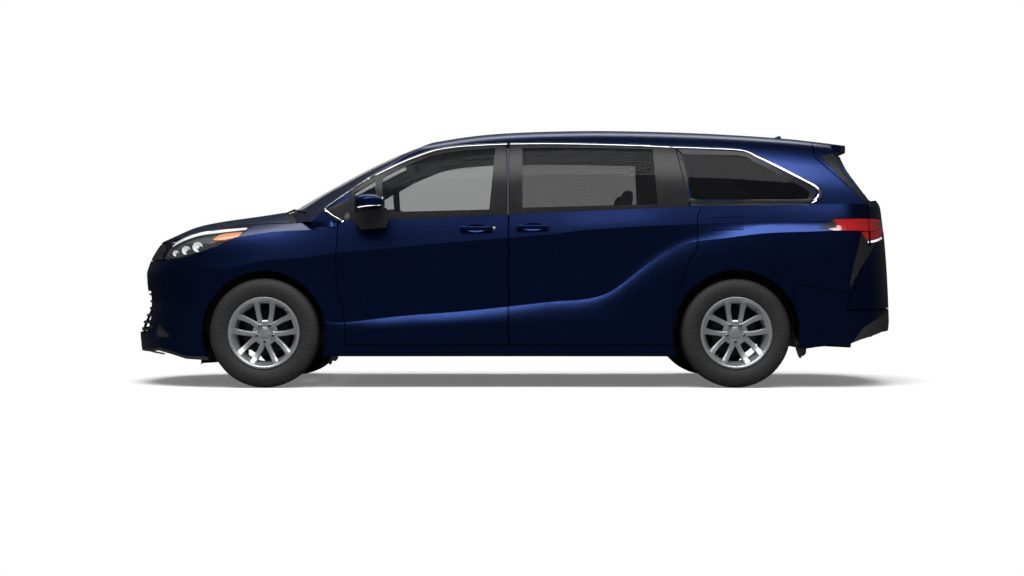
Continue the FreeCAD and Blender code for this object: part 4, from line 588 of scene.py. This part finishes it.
def spokeShape(angle, lean):
    # one spoke: a trapezoid section carried outwards along a dished line that leaves its pair's middle
    s = np.linspace(0, 1, spoke["steps"])
    arch = np.sin(np.pi * s)
    r = spoke["foot"] + spoke["length"] * s
    x = lean * (spoke["spread"] + spoke["spreadGrowth"] * s ** 0.9 + spoke["bow"] * arch)
    y = spoke["face"] + spoke["rise"] * s - spoke["dish"] * arch + spoke["flare"] * s ** 3
    waist = np.sin(np.pi * np.clip(s * 1.05, 0, 1))
    wide = spoke["width"] - spoke["waist"] * waist + spoke["toe"] * s ** 4
    deep = spoke["depth"] - spoke["thinning"] * s
    face = np.array([(-1, -1.0), (-0.82, -0.12), (-0.62, 0.0), (0.62, 0.0), (0.82, -0.12), (1, -1.0)])
    cx = face[None, :, 0] * wide[:, None] + x[:, None]
    cy = face[None, :, 1] * deep[:, None] + y[:, None]
    cz = np.repeat(r[:, None], len(face), 1)
    return turnY(grid(np.stack([cx, cy, cz], -1), False, True, True, True), angle)


def webShape(angle):
    # the link between a pair's outer ends: a four-sided section that widens straight outwards
    s = np.linspace(0, 1, web["steps"])
    across = web["half"] * (web["innerShare"] + (1 - web["innerShare"]) * s)
    outwards = web["from"] + (web["to"] - web["from"]) * s
    corners = ((-1, web["back"]), (-1, web["front"]), (1, web["front"]), (1, web["back"]))
    rows = [np.stack([sign * across, np.full(len(s), y), outwards], 1) for sign, y in corners]
    return turnY(grid(np.stack(rows), True, False), angle)


def nutShape(angle):
    # a hexagon with a rounded top, standing on the nut circle
    nut = revolve(wheelSections["nut"], steps=6, closed=False)
    return turnY(shift(nut, (0, wheel["nutFoot"], wheel["nutCircle"])), angle)


def valveShape():
    # a short stem carried outwards and bent towards the axle
    stem = carry([(0, 0.090, 0.0), (0, 0.099, -0.002), (0, 0.114, -0.006)], roundedLoop(0.007, 0.007, 2, 12),
                 (1, 0, 0))
    return turnY(shift(stem, (0, 0, wheel["valveRadius"])), wheel["valveAngle"])


def wheelPieces(end, sideName, axleX, sign):
    # everything that turns with one wheel; the left wheels are mirrored
    def placed(shapes):
        whole = merge(shapes)
        return shift(whole if sign > 0 else mirror(whole), (axleX, sign * car["wheelY"], car["tyreRadius"]))

    tag = end + sideName
    nodeTag = "_" + end.lower() + "_" + sideName.lower()
    body = "wheel" + nodeTag
    pairs = [2 * np.pi * k / wheel["spokePairs"] for k in range(wheel["spokePairs"])]
    hub = revolve(wheelSections["hub"], steps=80, closed=False)
    spokes = [spokeShape(a, lean) for a in pairs for lean in (-1, 1)]
    rim = revolve(wheelSections["rim"], steps=144)
    cap = revolve(wheelSections["cap"], steps=64, closed=False)
    between = math.pi / wheel["spokePairs"]
    piece("tyre" + tag, placed([tyreShape()]), body, "tyre", "tyre", ("tyre" + nodeTag,), angle=28)
    piece("rim" + tag, placed([rim] + [webShape(a) for a in pairs]), body, "alloy", "alloy",
          ("rim" + nodeTag,), angle=40)
    piece("spokes" + tag, placed(spokes + [hub]), body, "alloy", "alloy", angle=30, bevel=0.0012)
    piece("nuts" + tag, placed([nutShape(a + between) for a in pairs]), body, "mirrorFace", "alloy",
          bevel=0.0008)
    piece("cap" + tag, placed([cap]), body, "alloy", "alloy")
    piece("valve" + tag, placed([valveShape()]), body, "blackPlastic", "tyre")


for end, axleX in (("Front", car["frontAxleX"]), ("Rear", car["rearAxleX"])):
    for sideName, sign in (("Left", -1), ("Right", 1)):
        wheelPieces(end, sideName, axleX, sign)
print("wheels made")

# Bright strip round the side windows, in four lengths that part at the doors
strip = {"wide": 0.0155, "proud": 0.006, "thick": 0.008, "count": 90, "tipU": 806, "tipRun": 12,
         "tipGrowth": 0.9}
bothDoors = ("door_left", "door_right")
stripRuns = {
    "Front": [(343.5, 222), (333, 216.5), (325.2, 210.2), (327.5, 207.2), (338, 199.5), (349.6, 191.6)],
    "Door": [(350.2, 191.2), (370, 178.5), (400, 163.2), (430, 151.8), (450, 147.8), (470, 145.8),
             (500, 144.3), (507.2, 144.1)],
    "Slide": [(510.2, 144), (550, 143.6), (600, 144.4), (640, 145.6), (670.5, 147.1)],
    "Rear": [(672, 147.2), (705, 148.2), (742, 150.4), (758, 157.2), (781, 168.6), (804, 180.6), (815, 187),
             (819.6, 192.4), (818.6, 198), (811, 203.4)],
}


def stripShape(run):
    # a flat oval section carried along the skin under a picture curve, wider at the rear tip
    curve = smooth(run, strip["count"])
    skin = seen(curve)
    outward = sideNormal(skin[:, 0], skin[:, 2])
    line = smooth(skin + outward * strip["proud"] * 0.5, strip["count"])
    tip = np.clip((curve[:, 0] - strip["tipU"]) / strip["tipRun"], 0, 1)
    section = roundedLoop(1.0, strip["thick"] / strip["wide"], 5, 14)
    return carry(line, section, outward, scale=strip["wide"] * (1 + strip["tipGrowth"] * tip))


for name, run in stripRuns.items():
    riders = bothDoors if name == "Door" else "root"
    onBothSides("windowStrip" + name, stripShape(run), riders, "chrome", "alloy")
print("strips made")


def plates(rows, body="root"):
    # thin plates on both sides, each between two picture curves: (first, second, proud, depth, count, across,
    # look, slot)
    for name, (first, second, proud, depth, count, across, look, slot) in rows.items():
        onBothSides(name, band(first, second, proud, depth, count, across), body, look, slot)


# Lamps: what lies behind the front lens, the amber marker and the light strip, and the tail lamps' trims
lamp = {"back": -0.030, "strip": -0.004, "turn": -0.008, "bowlDepth": 0.016,
        "bowls": (((183.4, 248.4), 0.026), ((195.2, 245.4), 0.030), ((172.8, 251.2), 0.018)),
        "upper": [(161.6, 256.8), (164, 249), (172, 242.6), (186, 235.8), (200, 231.6), (219, 229.2),
                  (236, 227.8), (247, 227.0)],
        "lower": [(164, 258.2), (170, 258.3), (178.5, 257.2), (194, 253.2), (206, 250), (219, 245.6),
                  (232, 239.4), (244, 232.4)],
        "stripUpper": [(161.5, 257), (163.6, 249.8), (171.6, 243), (185.8, 236.2), (200, 231.8), (219, 229.4),
                       (247, 227.2)],
        "stripLower": [(163.6, 257.6), (165.6, 251), (173.4, 244.9), (186.6, 238.2), (200.4, 234),
                       (219.4, 231.4), (246, 228.4)],
        "turnUpper": [(212.6, 237.8), (222, 233), (242.2, 230.8)],
        "turnLower": [(214, 239.0), (226, 238.4), (238.4, 235.4)]}
plates({
    "lampBack": (lamp["upper"], lamp["lower"], lamp["back"], 0.006, 60, 12, "blackGloss", "lamp_clear"),
    "lightStrip": (lamp["stripUpper"], lamp["stripLower"], lamp["strip"], 0.006, 60, 5, "lampWhite",
                   "lamp_clear"),
    "turnLamp": (lamp["turnUpper"], lamp["turnLower"], lamp["turn"], 0.010, 30, 6, "lampAmber", "lamp_clear"),
})


def lampBowl(spot, radius):
    # a dished reflector round a small projector, facing outwards
    centre = seen([spot], lamp["back"] + 0.001)[0]
    dish = [(0, 0), (0.35 * radius, 0.002), (0.7 * radius, 0.007), (radius, lamp["bowlDepth"]),
            (1.08 * radius, lamp["bowlDepth"]), (1.08 * radius, -0.002), (0, -0.002)]
    dome = [(0.36 * radius, 0.002), (0.33 * radius, 0.010), (0.2 * radius, 0.015), (0, 0.0165)]
    turned = merge([revolve(dish, steps=48, closed=False), revolve(dome, steps=32, closed=False)])
    return shift(turned, centre)


onBothSides("lampBowls", merge([lampBowl(spot, radius) for spot, radius in lamp["bowls"]]), "root", "bowl",
            "lamp_clear")
tail = {"tip": ([(819.3, 227.6), (826, 223.9), (834.5, 220.9)], [(819.6, 228.4), (828, 228.6), (837, 227.4)]),
        "lobe": ([(861.5, 231.9), (872, 231.9), (882.4, 231.2)],
                 [(866.4, 240.2), (874.2, 239.4), (881.6, 236.6)]),
        "white": ([(867.6, 241.2), (875, 239.8), (881.8, 236.9)],
                  [(868.2, 243.2), (875.6, 241.9), (882, 238.9)]),
        "slit": ([(861.6, 233.4), (858.4, 247), (853.6, 265), (849.9, 283.5)],
                 [(876.0, 243.2), (868.4, 256), (857.4, 274), (850.7, 287.6)]),
        "corner": ([(837.6, 152.4), (850.6, 172.4), (864.6, 193.4), (874.4, 206.6)],
                   [(820.6, 156.0), (834, 170.6), (848, 185.4), (869.0, 206.6)])}
plates({"tailTip": (*tail["tip"], 0.0012, 0.004, 24, 5, "blackGloss", "black_gloss")})
plates({
    "tailLobe": (*tail["lobe"], 0.0012, 0.005, 24, 6, "lampRed", "lamp_red"),
    "tailWhite": (*tail["white"], 0.0014, 0.005, 24, 4, "lampWhite", "lamp_red"),
    "tailSlit": (*tail["slit"], 0.0010, 0.004, 30, 7, "blackGloss", "black_gloss"),
    "tailCorner": (*tail["corner"], 0.0012, 0.004, 40, 8, "blackGloss", "black_gloss"),
}, "tailgate")
print("lamps made")

# Bright edges low on the nose, the sliding door's rail slot and the grille's bright slats
edges = {"lip": ([(144.6, 348.3), (154, 351.1), (165, 353.4)], [(145, 349.5), (154, 352.4), (165, 354.7)]),
         "intake": ([(150.4, 326.2), (157, 326.4), (163.6, 326.8)],
                    [(150.6, 327.5), (157, 327.7), (163.6, 328.0)]),
         "rail": ([(691, 203.8), (740, 203.5), (790, 203.6), (809, 203.8)],
                  [(691, 205.6), (740, 205.4), (790, 205.5), (809, 205.3)])}
plates({
    "lipStrip": (*edges["lip"], 0.0015, 0.004, 24, 3, "chrome", "alloy"),
    "intakeEdge": (*edges["intake"], 0.0015, 0.005, 24, 3, "chrome", "alloy"),
    "railSlot": (*edges["rail"], 0.0006, 0.004, 60, 3, "blackPlastic", "black_plastic"),
})
grille = {"bars": 6, "bottom": 0.347, "top": 0.628, "halfBottom": 0.640, "halfTop": 0.548, "face": 0.010,
          "thick": 0.005, "proud": 0.002, "count": 60}
noseNodes = [n for n in nodes if n.startswith(("grille", "front_bumper"))]
nose = Relief(noseNodes, axis=0, sign=-1, low=(-0.8, 0.18), high=(0.8, 1.0), step=0.01)


def slats():
    # each slat is a slim strip carried across the face of one bar
    made = []
    for k in range(grille["bars"]):
        share = (k + 0.5) / grille["bars"]
        z = grille["bottom"] + (grille["top"] - grille["bottom"]) * share
        half = grille["halfBottom"] + (grille["halfTop"] - grille["halfBottom"]) * share
        y = np.linspace(-half, half, grille["count"])
        level = np.full(grille["count"], z)
        line = smooth(np.stack([nose.at(y, level) - grille["proud"], y, level], 1), grille["count"])
        made.append(carry(line, roundedLoop(grille["face"], grille["thick"], 5, 10), (-1, 0, 0)))
    return merge(made)


piece("grilleSlats", slats(), "root", "chrome", "alloy")

# Deflectors ahead of the front wheels, side guards on the mud flaps and a splash plate inside each front arch
guard = {"outer": 0.925, "inner": 0.905, "edge": 0.003, "thick": 0.006, "deflectorZ": 0.1975,
         "deflectorHigh": 0.095, "splashInner": 0.500, "splashOuter": 0.506,
         "deflector": [(-2.030, 0.925), (-2.050, 0.80), (-2.050, 0.70), (-2.022, 0.655), (-1.988, 0.59),
                       (-1.952, 0.55)],
         "rear": [(1.829, 0.302), (1.908, 0.302), (1.899, 0.222), (1.882, 0.205), (1.850, 0.205),
                  (1.835, 0.250)],
         "front": [(-1.205, 0.262), (-1.138, 0.262), (-1.144, 0.190), (-1.158, 0.172), (-1.184, 0.176),
                   (-1.198, 0.215)],
         "splash": [(-1.345, 0.270), (-1.215, 0.270), (-1.215, 0.430), (-1.345, 0.430)]}
deflector = carry(smooth([(x, y, guard["deflectorZ"]) for x, y in guard["deflector"]], 36),
                  roundedLoop(guard["thick"], guard["deflectorHigh"], 8, 16), (0, 0, 1))
flaps = [slab(guard[end], guard["inner"], guard["outer"], guard["edge"]) for end in ("rear", "front")]
splash = slab(guard["splash"], guard["splashInner"], guard["splashOuter"])
onBothSides("archGuards", merge([deflector, *flaps, splash]), "root", "blackPlastic", "black_plastic")

# Black: round the quarter glass, the sail panel, and deep in the gap between the doors' frames;
# painted: the windscreen pillar's skin down to the bonnet, and its foot over the wing's rear end
trim = {"quarterOuter": [(676.5, 149.2), (742, 152.3), (757, 158.8), (781, 170.6), (803, 182.1), (812, 188.2),
                         (814.6, 193), (813.2, 197), (806.5, 203.0), (760, 203.2), (691.2, 203.2),
                         (684, 180), (676.5, 149.2)],
        "quarterInner": [(682, 154.6), (739, 156), (755, 162.5), (780, 175), (799, 185.4), (808, 191),
                         (809.2, 194), (808, 197.2), (804, 199.2), (760, 199.4), (694.5, 199.2), (688, 178),
                         (682, 154.6)],
        "sailUpper": [(327.6, 209.4), (337.5, 201.4), (349.4, 193.2)],
        "sailLower": [(330.2, 212.9), (341, 219.0), (349.4, 222.4)],
        "postFront": [(506.8, 147.0), (506.8, 180), (506.8, 213.6)],
        "postRear": [(509.0, 147.0), (509.0, 180), (509.0, 213.6)],
        "pillarUpper": [(290.5, 214.2), (297, 211.8), (304.5, 208.8), (313, 203.4), (322, 197.6),
                        (334, 190.6), (346, 184.4), (358, 177.6), (374, 169.4), (388, 162.5), (402, 156.4),
                        (416, 151.2), (430, 146.2)],
        "pillarLower": [(292.0, 222.6), (302, 222.2), (311.5, 221.0), (319, 214.6), (326, 208.2),
                        (338, 199.6), (349.6, 191.6), (360, 184.6), (376, 175.2), (390, 167.8), (404, 161.2),
                        (417, 156.0), (431, 150.8)],
        "footUpper": [(311, 221.8), (324, 221.6), (337, 221.4)],
        "footLower": [(311, 227.0), (324, 226.9), (337, 226.6)]}
plates({
    "quarterSurround": (trim["quarterOuter"], trim["quarterInner"], 0.0024, 0.008, 200, 3, "blackGloss",
                        "black_gloss"),
    "sailPanel": (trim["sailUpper"], trim["sailLower"], 0.0008, 0.0036, 30, 6, "blackGloss", "black_gloss"),
    "postCover": (trim["postFront"], trim["postRear"], -0.012, 0.003, 30, 3, "blackPlastic", "black_plastic"),
    "pillarSkin": (trim["pillarUpper"], trim["pillarLower"], 0.0015, 0.005, 90, 7, "blue", "blue"),
})
onBothSides("pillarFoot", bridge(trim["footUpper"], trim["footLower"]), "root", "blue", "blue")
print("nose, guards and surrounds made")

# Door mirrors: black foot that is partly painted shadow, mirror glass and the bright marker strip; lock
# buttons in the front doors
doorMirror = {"rearX": -0.8375, "middleY": 1.078, "middleZ": 1.197, "footAndShadowTop": 1.150, "glassWide": 0.150,
              "glassHigh": 0.078, "markerFrom": -0.995, "markerTo": -0.850, "markerZ": 1.166,
              "markerRise": 0.012, "markerSink": 0.0036, "markerHigh": 0.012, "markerThick": 0.006}
# below this height the mirror is black gloss: partly its foot's own black, partly painted shadow that the
# mirror casts on the door
for n in ("mirror_left", "mirror_right"):
    secondLook(nodes[n].data, "blackGloss", 2, -math.inf, doorMirror["footAndShadowTop"])
capRelief = Relief(["mirror_right"], axis=1, sign=1, low=(-1.04, 1.02), high=(-0.80, 1.26), step=0.004)


def mirrorGlass():
    # a rounded plate just behind the housing's flat rear face
    loop = roundedLoop(doorMirror["glassWide"], doorMirror["glassHigh"], 4, 40)
    rows = [np.stack([np.full(len(loop), doorMirror["rearX"] + x), doorMirror["middleY"] + loop[:, 0] * k,
                      doorMirror["middleZ"] + loop[:, 1] * k], 1)
            for x, k in ((-0.002, 1), (0.003, 1), (0.004, 0.97))]
    return grid(np.stack(rows), False, True, True, True)


def mirrorMarker():
    # a slim lens carried round the housing's outer face at one height
    share = np.linspace(0, 1, 40)
    x = doorMirror["markerFrom"] + (doorMirror["markerTo"] - doorMirror["markerFrom"]) * share
    z = doorMirror["markerZ"] + doorMirror["markerRise"] * np.sin(np.pi / 2 * share)
    y = capRelief.at(x, z) - doorMirror["markerSink"]
    section = roundedLoop(doorMirror["markerHigh"], doorMirror["markerThick"], 4, 10)
    return carry(smooth(np.stack([x, y, z], 1), 40), section, (0, 1, 0.2))


lock = {"place": (494.2, 228.2),
        "section": [(0, -0.004), (0.0085, -0.004), (0.0085, 0.003), (0.007, 0.004), (0, 0.004)]}
lockButton = shift(revolve(lock["section"], steps=32, closed=False), seen([lock["place"]])[0])
onBothSides("mirrorGlass", mirrorGlass(), bothDoors, "mirrorFace", "alloy")
onBothSides("mirrorMarker", mirrorMarker(), bothDoors, "lampWhite", "lamp_clear")
onBothSides("lockButton", lockButton, bothDoors, "alloy", "blue")
print("mirrors made")

# Wipers on the windscreen and the rear glass: blade and arm by their (y, z) points, and their height over it
wipers = {
    "wiperLeft": {"blade": [(-0.70, 1.155), (-0.40, 1.175), (-0.06, 1.185)], "height": 0.009,
                  "arm": [(-0.02, 1.135), (-0.18, 1.160), (-0.38, 1.180)], "body": "root"},
    "wiperRight": {"blade": [(0.02, 1.172), (0.30, 1.176), (0.60, 1.160)], "height": 0.009,
                   "arm": [(0.64, 1.135), (0.48, 1.157), (0.31, 1.178)], "body": "root"},
    "wiperRear": {"blade": [(-0.08, 1.318), (0.12, 1.322), (0.30, 1.330)], "height": 0.012,
                  "arm": [(-0.01, 1.262), (0.02, 1.290), (0.11, 1.322)], "body": "tailgate"},
}
wiperRod = {"blade": 0.0060, "arm": 0.007, "armRise": 0.009}
glassFront = Relief(["windscreen", "cowl"], axis=0, sign=-1, low=(-0.84, 1.08), high=(0.84, 1.60), step=0.02)
glassRear = Relief(["rear_glass", "tailgate"], axis=0, sign=1, low=(-0.7, 1.10), high=(0.7, 1.60), step=0.02)


def wiperShape(relief, size):
    # two rods that follow the glass, the arm a little above the blade
    made = []
    for part, rise in (("blade", 0.0), ("arm", wiperRod["armRise"])):
        line = smooth(size[part], 40)
        x = relief.at(line[:, 0], line[:, 1]) + relief.sign * (size["height"] + rise)
        made.append(tube(smooth(np.stack([x, line[:, 0], line[:, 1]], 1), 40), wiperRod[part]))
    return merge(made)


for name, size in wipers.items():
    relief = glassFront if size["body"] == "root" else glassRear
    piece(name, wiperShape(relief, size), size["body"], "blackPlastic", "black_plastic")
print("wipers made")

# Cabin: instrument hood, screen, vents, inside mirror and the steering column's stalks
cabin = {"driverY": -0.379, "hoodSize": (0.13, 0.36, 0.075), "hoodX": -0.925, "hoodZ": 1.108,
         "screenSize": (0.022, 0.27, 0.155), "screenPlace": (-0.895, 0.0, 1.135), "screenLean": -0.2,
         "ventSlat": (0.012, 0.12, 0.010), "ventX": -0.862, "ventZ": 1.02, "ventStep": 0.016, "ventSlats": 4,
         "ventsY": (-0.66, -0.12, 0.12, 0.66), "mirrorSize": (0.034, 0.24, 0.064),
         "mirrorPlace": (-0.672, 0, 1.482), "mirrorLean": 0.2, "mirrorRod": 0.008, "stalkRod": 0.0065,
         "mirrorArm": [(-0.684, 0, 1.492), (-0.706, 0, 1.515), (-0.722, 0, 1.538)],
         "stalk": [(-0.835, 0.0, 0.95), (-0.815, 0.07, 0.965), (-0.80, 0.16, 0.985)]}
ventSlat = block(cabin["ventSlat"], (0, 0, 0))
vents = [shift(ventSlat, (cabin["ventX"], y, cabin["ventZ"] + cabin["ventStep"] * k))
         for y in cabin["ventsY"] for k in range(cabin["ventSlats"])]
stalks = [tube([(x, cabin["driverY"] + sign * out, z) for x, out, z in cabin["stalk"]], cabin["stalkRod"])
          for sign in (-1, 1)]
insideMirror = [block(cabin["mirrorSize"], cabin["mirrorPlace"], 0.4, cabin["mirrorLean"]),
                tube(cabin["mirrorArm"], cabin["mirrorRod"])]
hood = block(cabin["hoodSize"], (cabin["hoodX"], cabin["driverY"], cabin["hoodZ"]), 0.35)
dashScreen = block(cabin["screenSize"], cabin["screenPlace"], 0.2, cabin["screenLean"])
piece("hood", hood, "root", "cabinPlastic", "cabin_plastic")
piece("dashScreen", dashScreen, "root", "blackGloss", "cabin_plastic")
piece("vents", merge(vents), "root", "blackPlastic", "cabin_plastic")
piece("insideMirror", merge(insideMirror), "root", "blackPlastic", "black_plastic")
piece("stalks", merge(stalks), "root", "blackPlastic", "cabin_plastic")
print("cabin made")

# Seats: cushions and backs blown up as cloth, then sewn channels, head rests on posts, and plinths
seat = {"voxel": 0.013, "cap": 0.024, "pressure": 4.0, "frames": 20, "channel": 0.0045, "channelWidth": 0.007,
        "cushion": (0.455, 0.455, 0.085), "back": (0.085, 0.450, 0.470), "headRest": (0.075, 0.225, 0.150),
        "benchCushion": (0.455, 1.035, 0.085), "benchBack": (0.085, 1.030, 0.470), "backLean": 0.22,
        "headLean": 0.15, "sideSeam": 0.145, "crossSeam": -0.10, "backSeam": 0.10, "benchSeams": (0.18, 0.36)}
# Where each lies from its seat's own place: (back of it, height)
seatPlaces = {"cushion": (-0.255, 0.588), "back": (0.092, 0.868), "headRest": (0.158, 1.235),
              "postFoot": (0.140, 1.08), "postTop": (0.156, 1.18), "plinth": (-0.17, 0.447)}
post = {"aside": 0.055, "radius": 0.006}
plinthSize = (0.44, 0.155)
seats = {"frontX": -0.2717, "middleX": 0.6081, "rearX": 1.5525, "aside": 0.3796, "benchAside": 0.36,
         "halfWide": 0.20, "benchHalfWide": 0.49}


def inflated(name, shape):
    # remeshed evenly, blown up under pressure with its movement capped, then subdivided once
    made = meshObject(name, shape)
    even = made.modifiers.new("even", "REMESH")
    even.mode = "VOXEL"
    even.voxel_size = seat["voxel"]

    def baked():
        # the mesh as the modifiers leave it now
        return bpy.data.meshes.new_from_object(made.evaluated_get(bpy.context.evaluated_depsgraph_get()))

    def places(of):
        flat = np.empty(3 * len(of.vertices))
        of.vertices.foreach_get("co", flat)
        return flat.reshape(-1, 3)

    made.data = baked()
    made.modifiers.clear()
    start = places(made.data)
    air = made.modifiers.new("air", "CLOTH")
    air.settings.use_pressure = True
    air.settings.uniform_pressure_force = seat["pressure"]
    air.settings.effector_weights.gravity = 0
    for step in range(1, seat["frames"] + 1):
        bpy.context.scene.frame_set(step)
    move = places(baked()) - start
    made.modifiers.clear()
    bpy.context.scene.frame_set(1)
    reach = np.linalg.norm(move, axis=1, keepdims=True)
    move *= np.minimum(1, seat["cap"] / np.maximum(reach, 1e-6))
    made.data.vertices.foreach_set("co", (start + move).ravel())
    rounder = made.modifiers.new("rounder", "SUBSURF")
    rounder.levels = rounder.render_levels = 1
    final = baked()
    corners = np.empty(len(final.loops), dtype=np.int32)
    final.loops.foreach_get("vertex_index", corners)
    result = places(final), corners.reshape(-1, 4).tolist()
    bpy.data.objects.remove(made)
    return result


def sewn(shape, lines):
    # channels along planes: each line is (axis, where on it); the skin sinks there by a bell curve
    points = shape[0].copy()
    middle = points.mean(0)
    inward = unit(middle - points)
    sink = np.zeros(len(points))
    for axis, at in lines:
        sink = np.maximum(sink, np.exp(-((points[:, axis] - at) / seat["channelWidth"]) ** 2))
    return points + inward * (sink * seat["channel"])[:, None], shape[1]


def core(name, size, power, lean=0.0):
    # the blown-up form of a plain rounded block
    return inflated(name, block(size, (0, 0, 0), power, lean))


sideSeams = [(1, -seat["sideSeam"]), (1, seat["sideSeam"])]
benchSeams = [(1, s * at) for at in seat["benchSeams"] for s in (-1, 1)]
cushion = sewn(core("cushionCore", seat["cushion"], 0.32), sideSeams + [(0, seat["crossSeam"])])
back = sewn(core("backCore", seat["back"], 0.32, seat["backLean"]), sideSeams + [(2, seat["backSeam"])])
benchCushion = sewn(core("benchCore", seat["benchCushion"], 0.26), benchSeams + [(0, seat["crossSeam"])])
benchBack = sewn(core("benchBackCore", seat["benchBack"], 0.26, seat["backLean"]),
                 benchSeams + [(2, seat["backSeam"])])
headRest = core("headCore", seat["headRest"], 0.45, seat["headLean"])
print("seats blown up")


def seatPieces(tag, node, x, y, cushionShape, backShape, heads, half):
    # one seat or bench: heads are its head rests' places across, half is half its plinth's width
    def spot(name, across=0.0):
        behind, height = seatPlaces[name]
        return x + behind, y + across, height

    for name, shape in (("cushion", cushionShape), ("back", backShape)):
        made = piece(name + tag, shift(shape, spot(name)), "root", "cloth", "cloth", (node,), angle=60)
    rests = merge([shift(headRest, spot("headRest", h)) for h in heads])
    piece("headRest" + tag, rests, "root", "cloth", "cloth", (node,), angle=60)
    posts = merge([tube([spot("postFoot", h + s), spot("postTop", h + s)], post["radius"])
                   for h in heads for s in (-post["aside"], post["aside"])])
    piece("posts" + tag, posts, "root", "chrome", "cloth", (node,))
    middle, _, height = spot("plinth")
    outline = roundedLoop(*plinthSize, 8, 24) + (middle, height)
    piece("plinth" + tag, slab(outline, y - half, y + half), "root", "blackPlastic", "cloth", (node,))


for tag, node, x in (("Front", "front_seats", seats["frontX"]), ("Middle", "middle_seats", seats["middleX"])):
    for sideName, sign in (("Left", -1), ("Right", 1)):
        seatPieces(tag + sideName, node, x, sign * seats["aside"], cushion, back, (0.0,), seats["halfWide"])
benchHeads = (-seats["benchAside"], 0.0, seats["benchAside"])
seatPieces("Rear", "rear_seat", seats["rearX"], 0.0, benchCushion, benchBack, benchHeads,
           seats["benchHalfWide"])
print("seats made")

# Floor, lights, camera and background
stage = {"reach": 90.0, "tone": 0.80, "mirroredTone": 0.03, "halfLength": 2.6, "halfWidth": 1.0,
         "fadeStart": 0.5, "fadeEnd": 3.0, "shadowLift": 0.16, "backdrop": 0.28, "seenLift": 0.72,
         "mirroredDrop": 0.24}


def floorPiece():
    # a wide plate whose shadow shows near the car and fades to white further out
    reach = np.array([-stage["reach"], stage["reach"]])
    shape = grid(np.stack([*np.meshgrid(reach, reach), np.zeros((2, 2))], -1))
    made = meshObject("floor", shape)
    look = bpy.data.materials.new("studioFloor")
    w, output = blankTree(look, "OutputMaterial")
    pale = w.node("BsdfDiffuse", None, {"Color": (stage["tone"],) * 3 + (1,)})
    bright = w.node("Emission", None, {"Color": (1, 1, 1, 1), "Strength": 1.0})
    spot = place(w)
    x = w.node("SeparateXYZ", None, {"Vector": spot}, 0)
    y = w.node("SeparateXYZ", None, {"Vector": spot}, 1)
    beyondX = w.sums("MAXIMUM", w.sums("ABSOLUTE", x) - stage["halfLength"], 0.0)
    beyondY = w.sums("MAXIMUM", w.sums("ABSOLUTE", y) - stage["halfWidth"], 0.0)
    away = w.sums("SQRT", beyondX * beyondX + beyondY * beyondY)
    fade = w.node("MapRange", {"interpolation_type": "SMOOTHSTEP"},
                  {"Value": away, "From Min": stage["fadeStart"], "From Max": stage["fadeEnd"]})
    isCamera = w.node("LightPath", output="Is Camera Ray")
    isGlossy = w.node("LightPath", output="Is Glossy Ray")
    dark = w.node("BsdfDiffuse", None, {"Color": (stage["mirroredTone"],) * 3 + (1,)})
    near = w.node("MixShader", None, {"Fac": isGlossy, 1: pale, 2: dark})
    whole = w.sums("MAXIMUM", fade, stage["shadowLift"])
    mixed = w.node("MixShader", None, {"Fac": whole * isCamera, 1: near, 2: bright})
    look.node_tree.links.new(mixed.socket, output)
    made.data.materials.append(look)


floorPiece()
# Each light's place, what it is turned to, its size in metres and its power in watts
lights = {"overhead": ((0, 0, 7.5), (0, 0, 0), (12, 9), 1000.0),
          "nearBox": ((-0.5, -4.6, 5.9), (0, -1, 0.6), (9, 2.2), 540.0),
          "farBox": ((-0.5, 4.2, 6.4), (0, 1, 0.6), (9, 2.2), 170.0)}


def areaLamp(name, location, aim, size, power):
    # a rectangle of light at a location, turned towards aim
    data = bpy.data.lights.new(name, "AREA")
    data.shape = "RECTANGLE"
    data.size, data.size_y = size
    data.energy = power
    made = bpy.data.objects.new(name, data)
    bpy.context.scene.collection.objects.link(made)
    made.location = location
    direction = np.array(aim, float) - np.array(location, float)
    made.rotation_euler = (math.atan2(math.hypot(direction[0], direction[1]), -direction[2]), 0,
                           math.atan2(direction[1], direction[0]) - math.pi / 2)
    return made


for name, values in lights.items():
    areaLamp(name, *values).visible_glossy = name != "overhead"

world = bpy.data.worlds.new("studio")
bpy.context.scene.world = world
w, worldOutput = blankTree(world, "OutputWorld")
isCamera = w.node("LightPath", output="Is Camera Ray")
isPassing = w.node("LightPath", output="Is Transmission Ray")
isGlossy = w.node("LightPath", output="Is Glossy Ray")
shown = w.sums("MINIMUM", isCamera + isPassing, 1.0)
strength = shown * stage["seenLift"] + stage["backdrop"] - isGlossy * stage["mirroredDrop"]
background = w.node("Background", None, {"Color": (1, 1, 1, 1), "Strength": strength})
world.node_tree.links.new(background.socket, worldOutput)

view = bpy.data.cameras.new("camera")
view.sensor_width = camera["sensor"]
view.lens = camera["focus"] / (2 * camera["middleU"]) * camera["sensor"]
eye = bpy.data.objects.new("camera", view)
bpy.context.scene.collection.objects.link(eye)
eye.location = (camera["x"], -camera["distance"], camera["z"])
eye.rotation_euler = (math.pi / 2, 0, 0)
bpy.context.scene.camera = eye
bpy.context.scene.view_settings.view_transform = "Standard"

print("floor, lights and camera made")
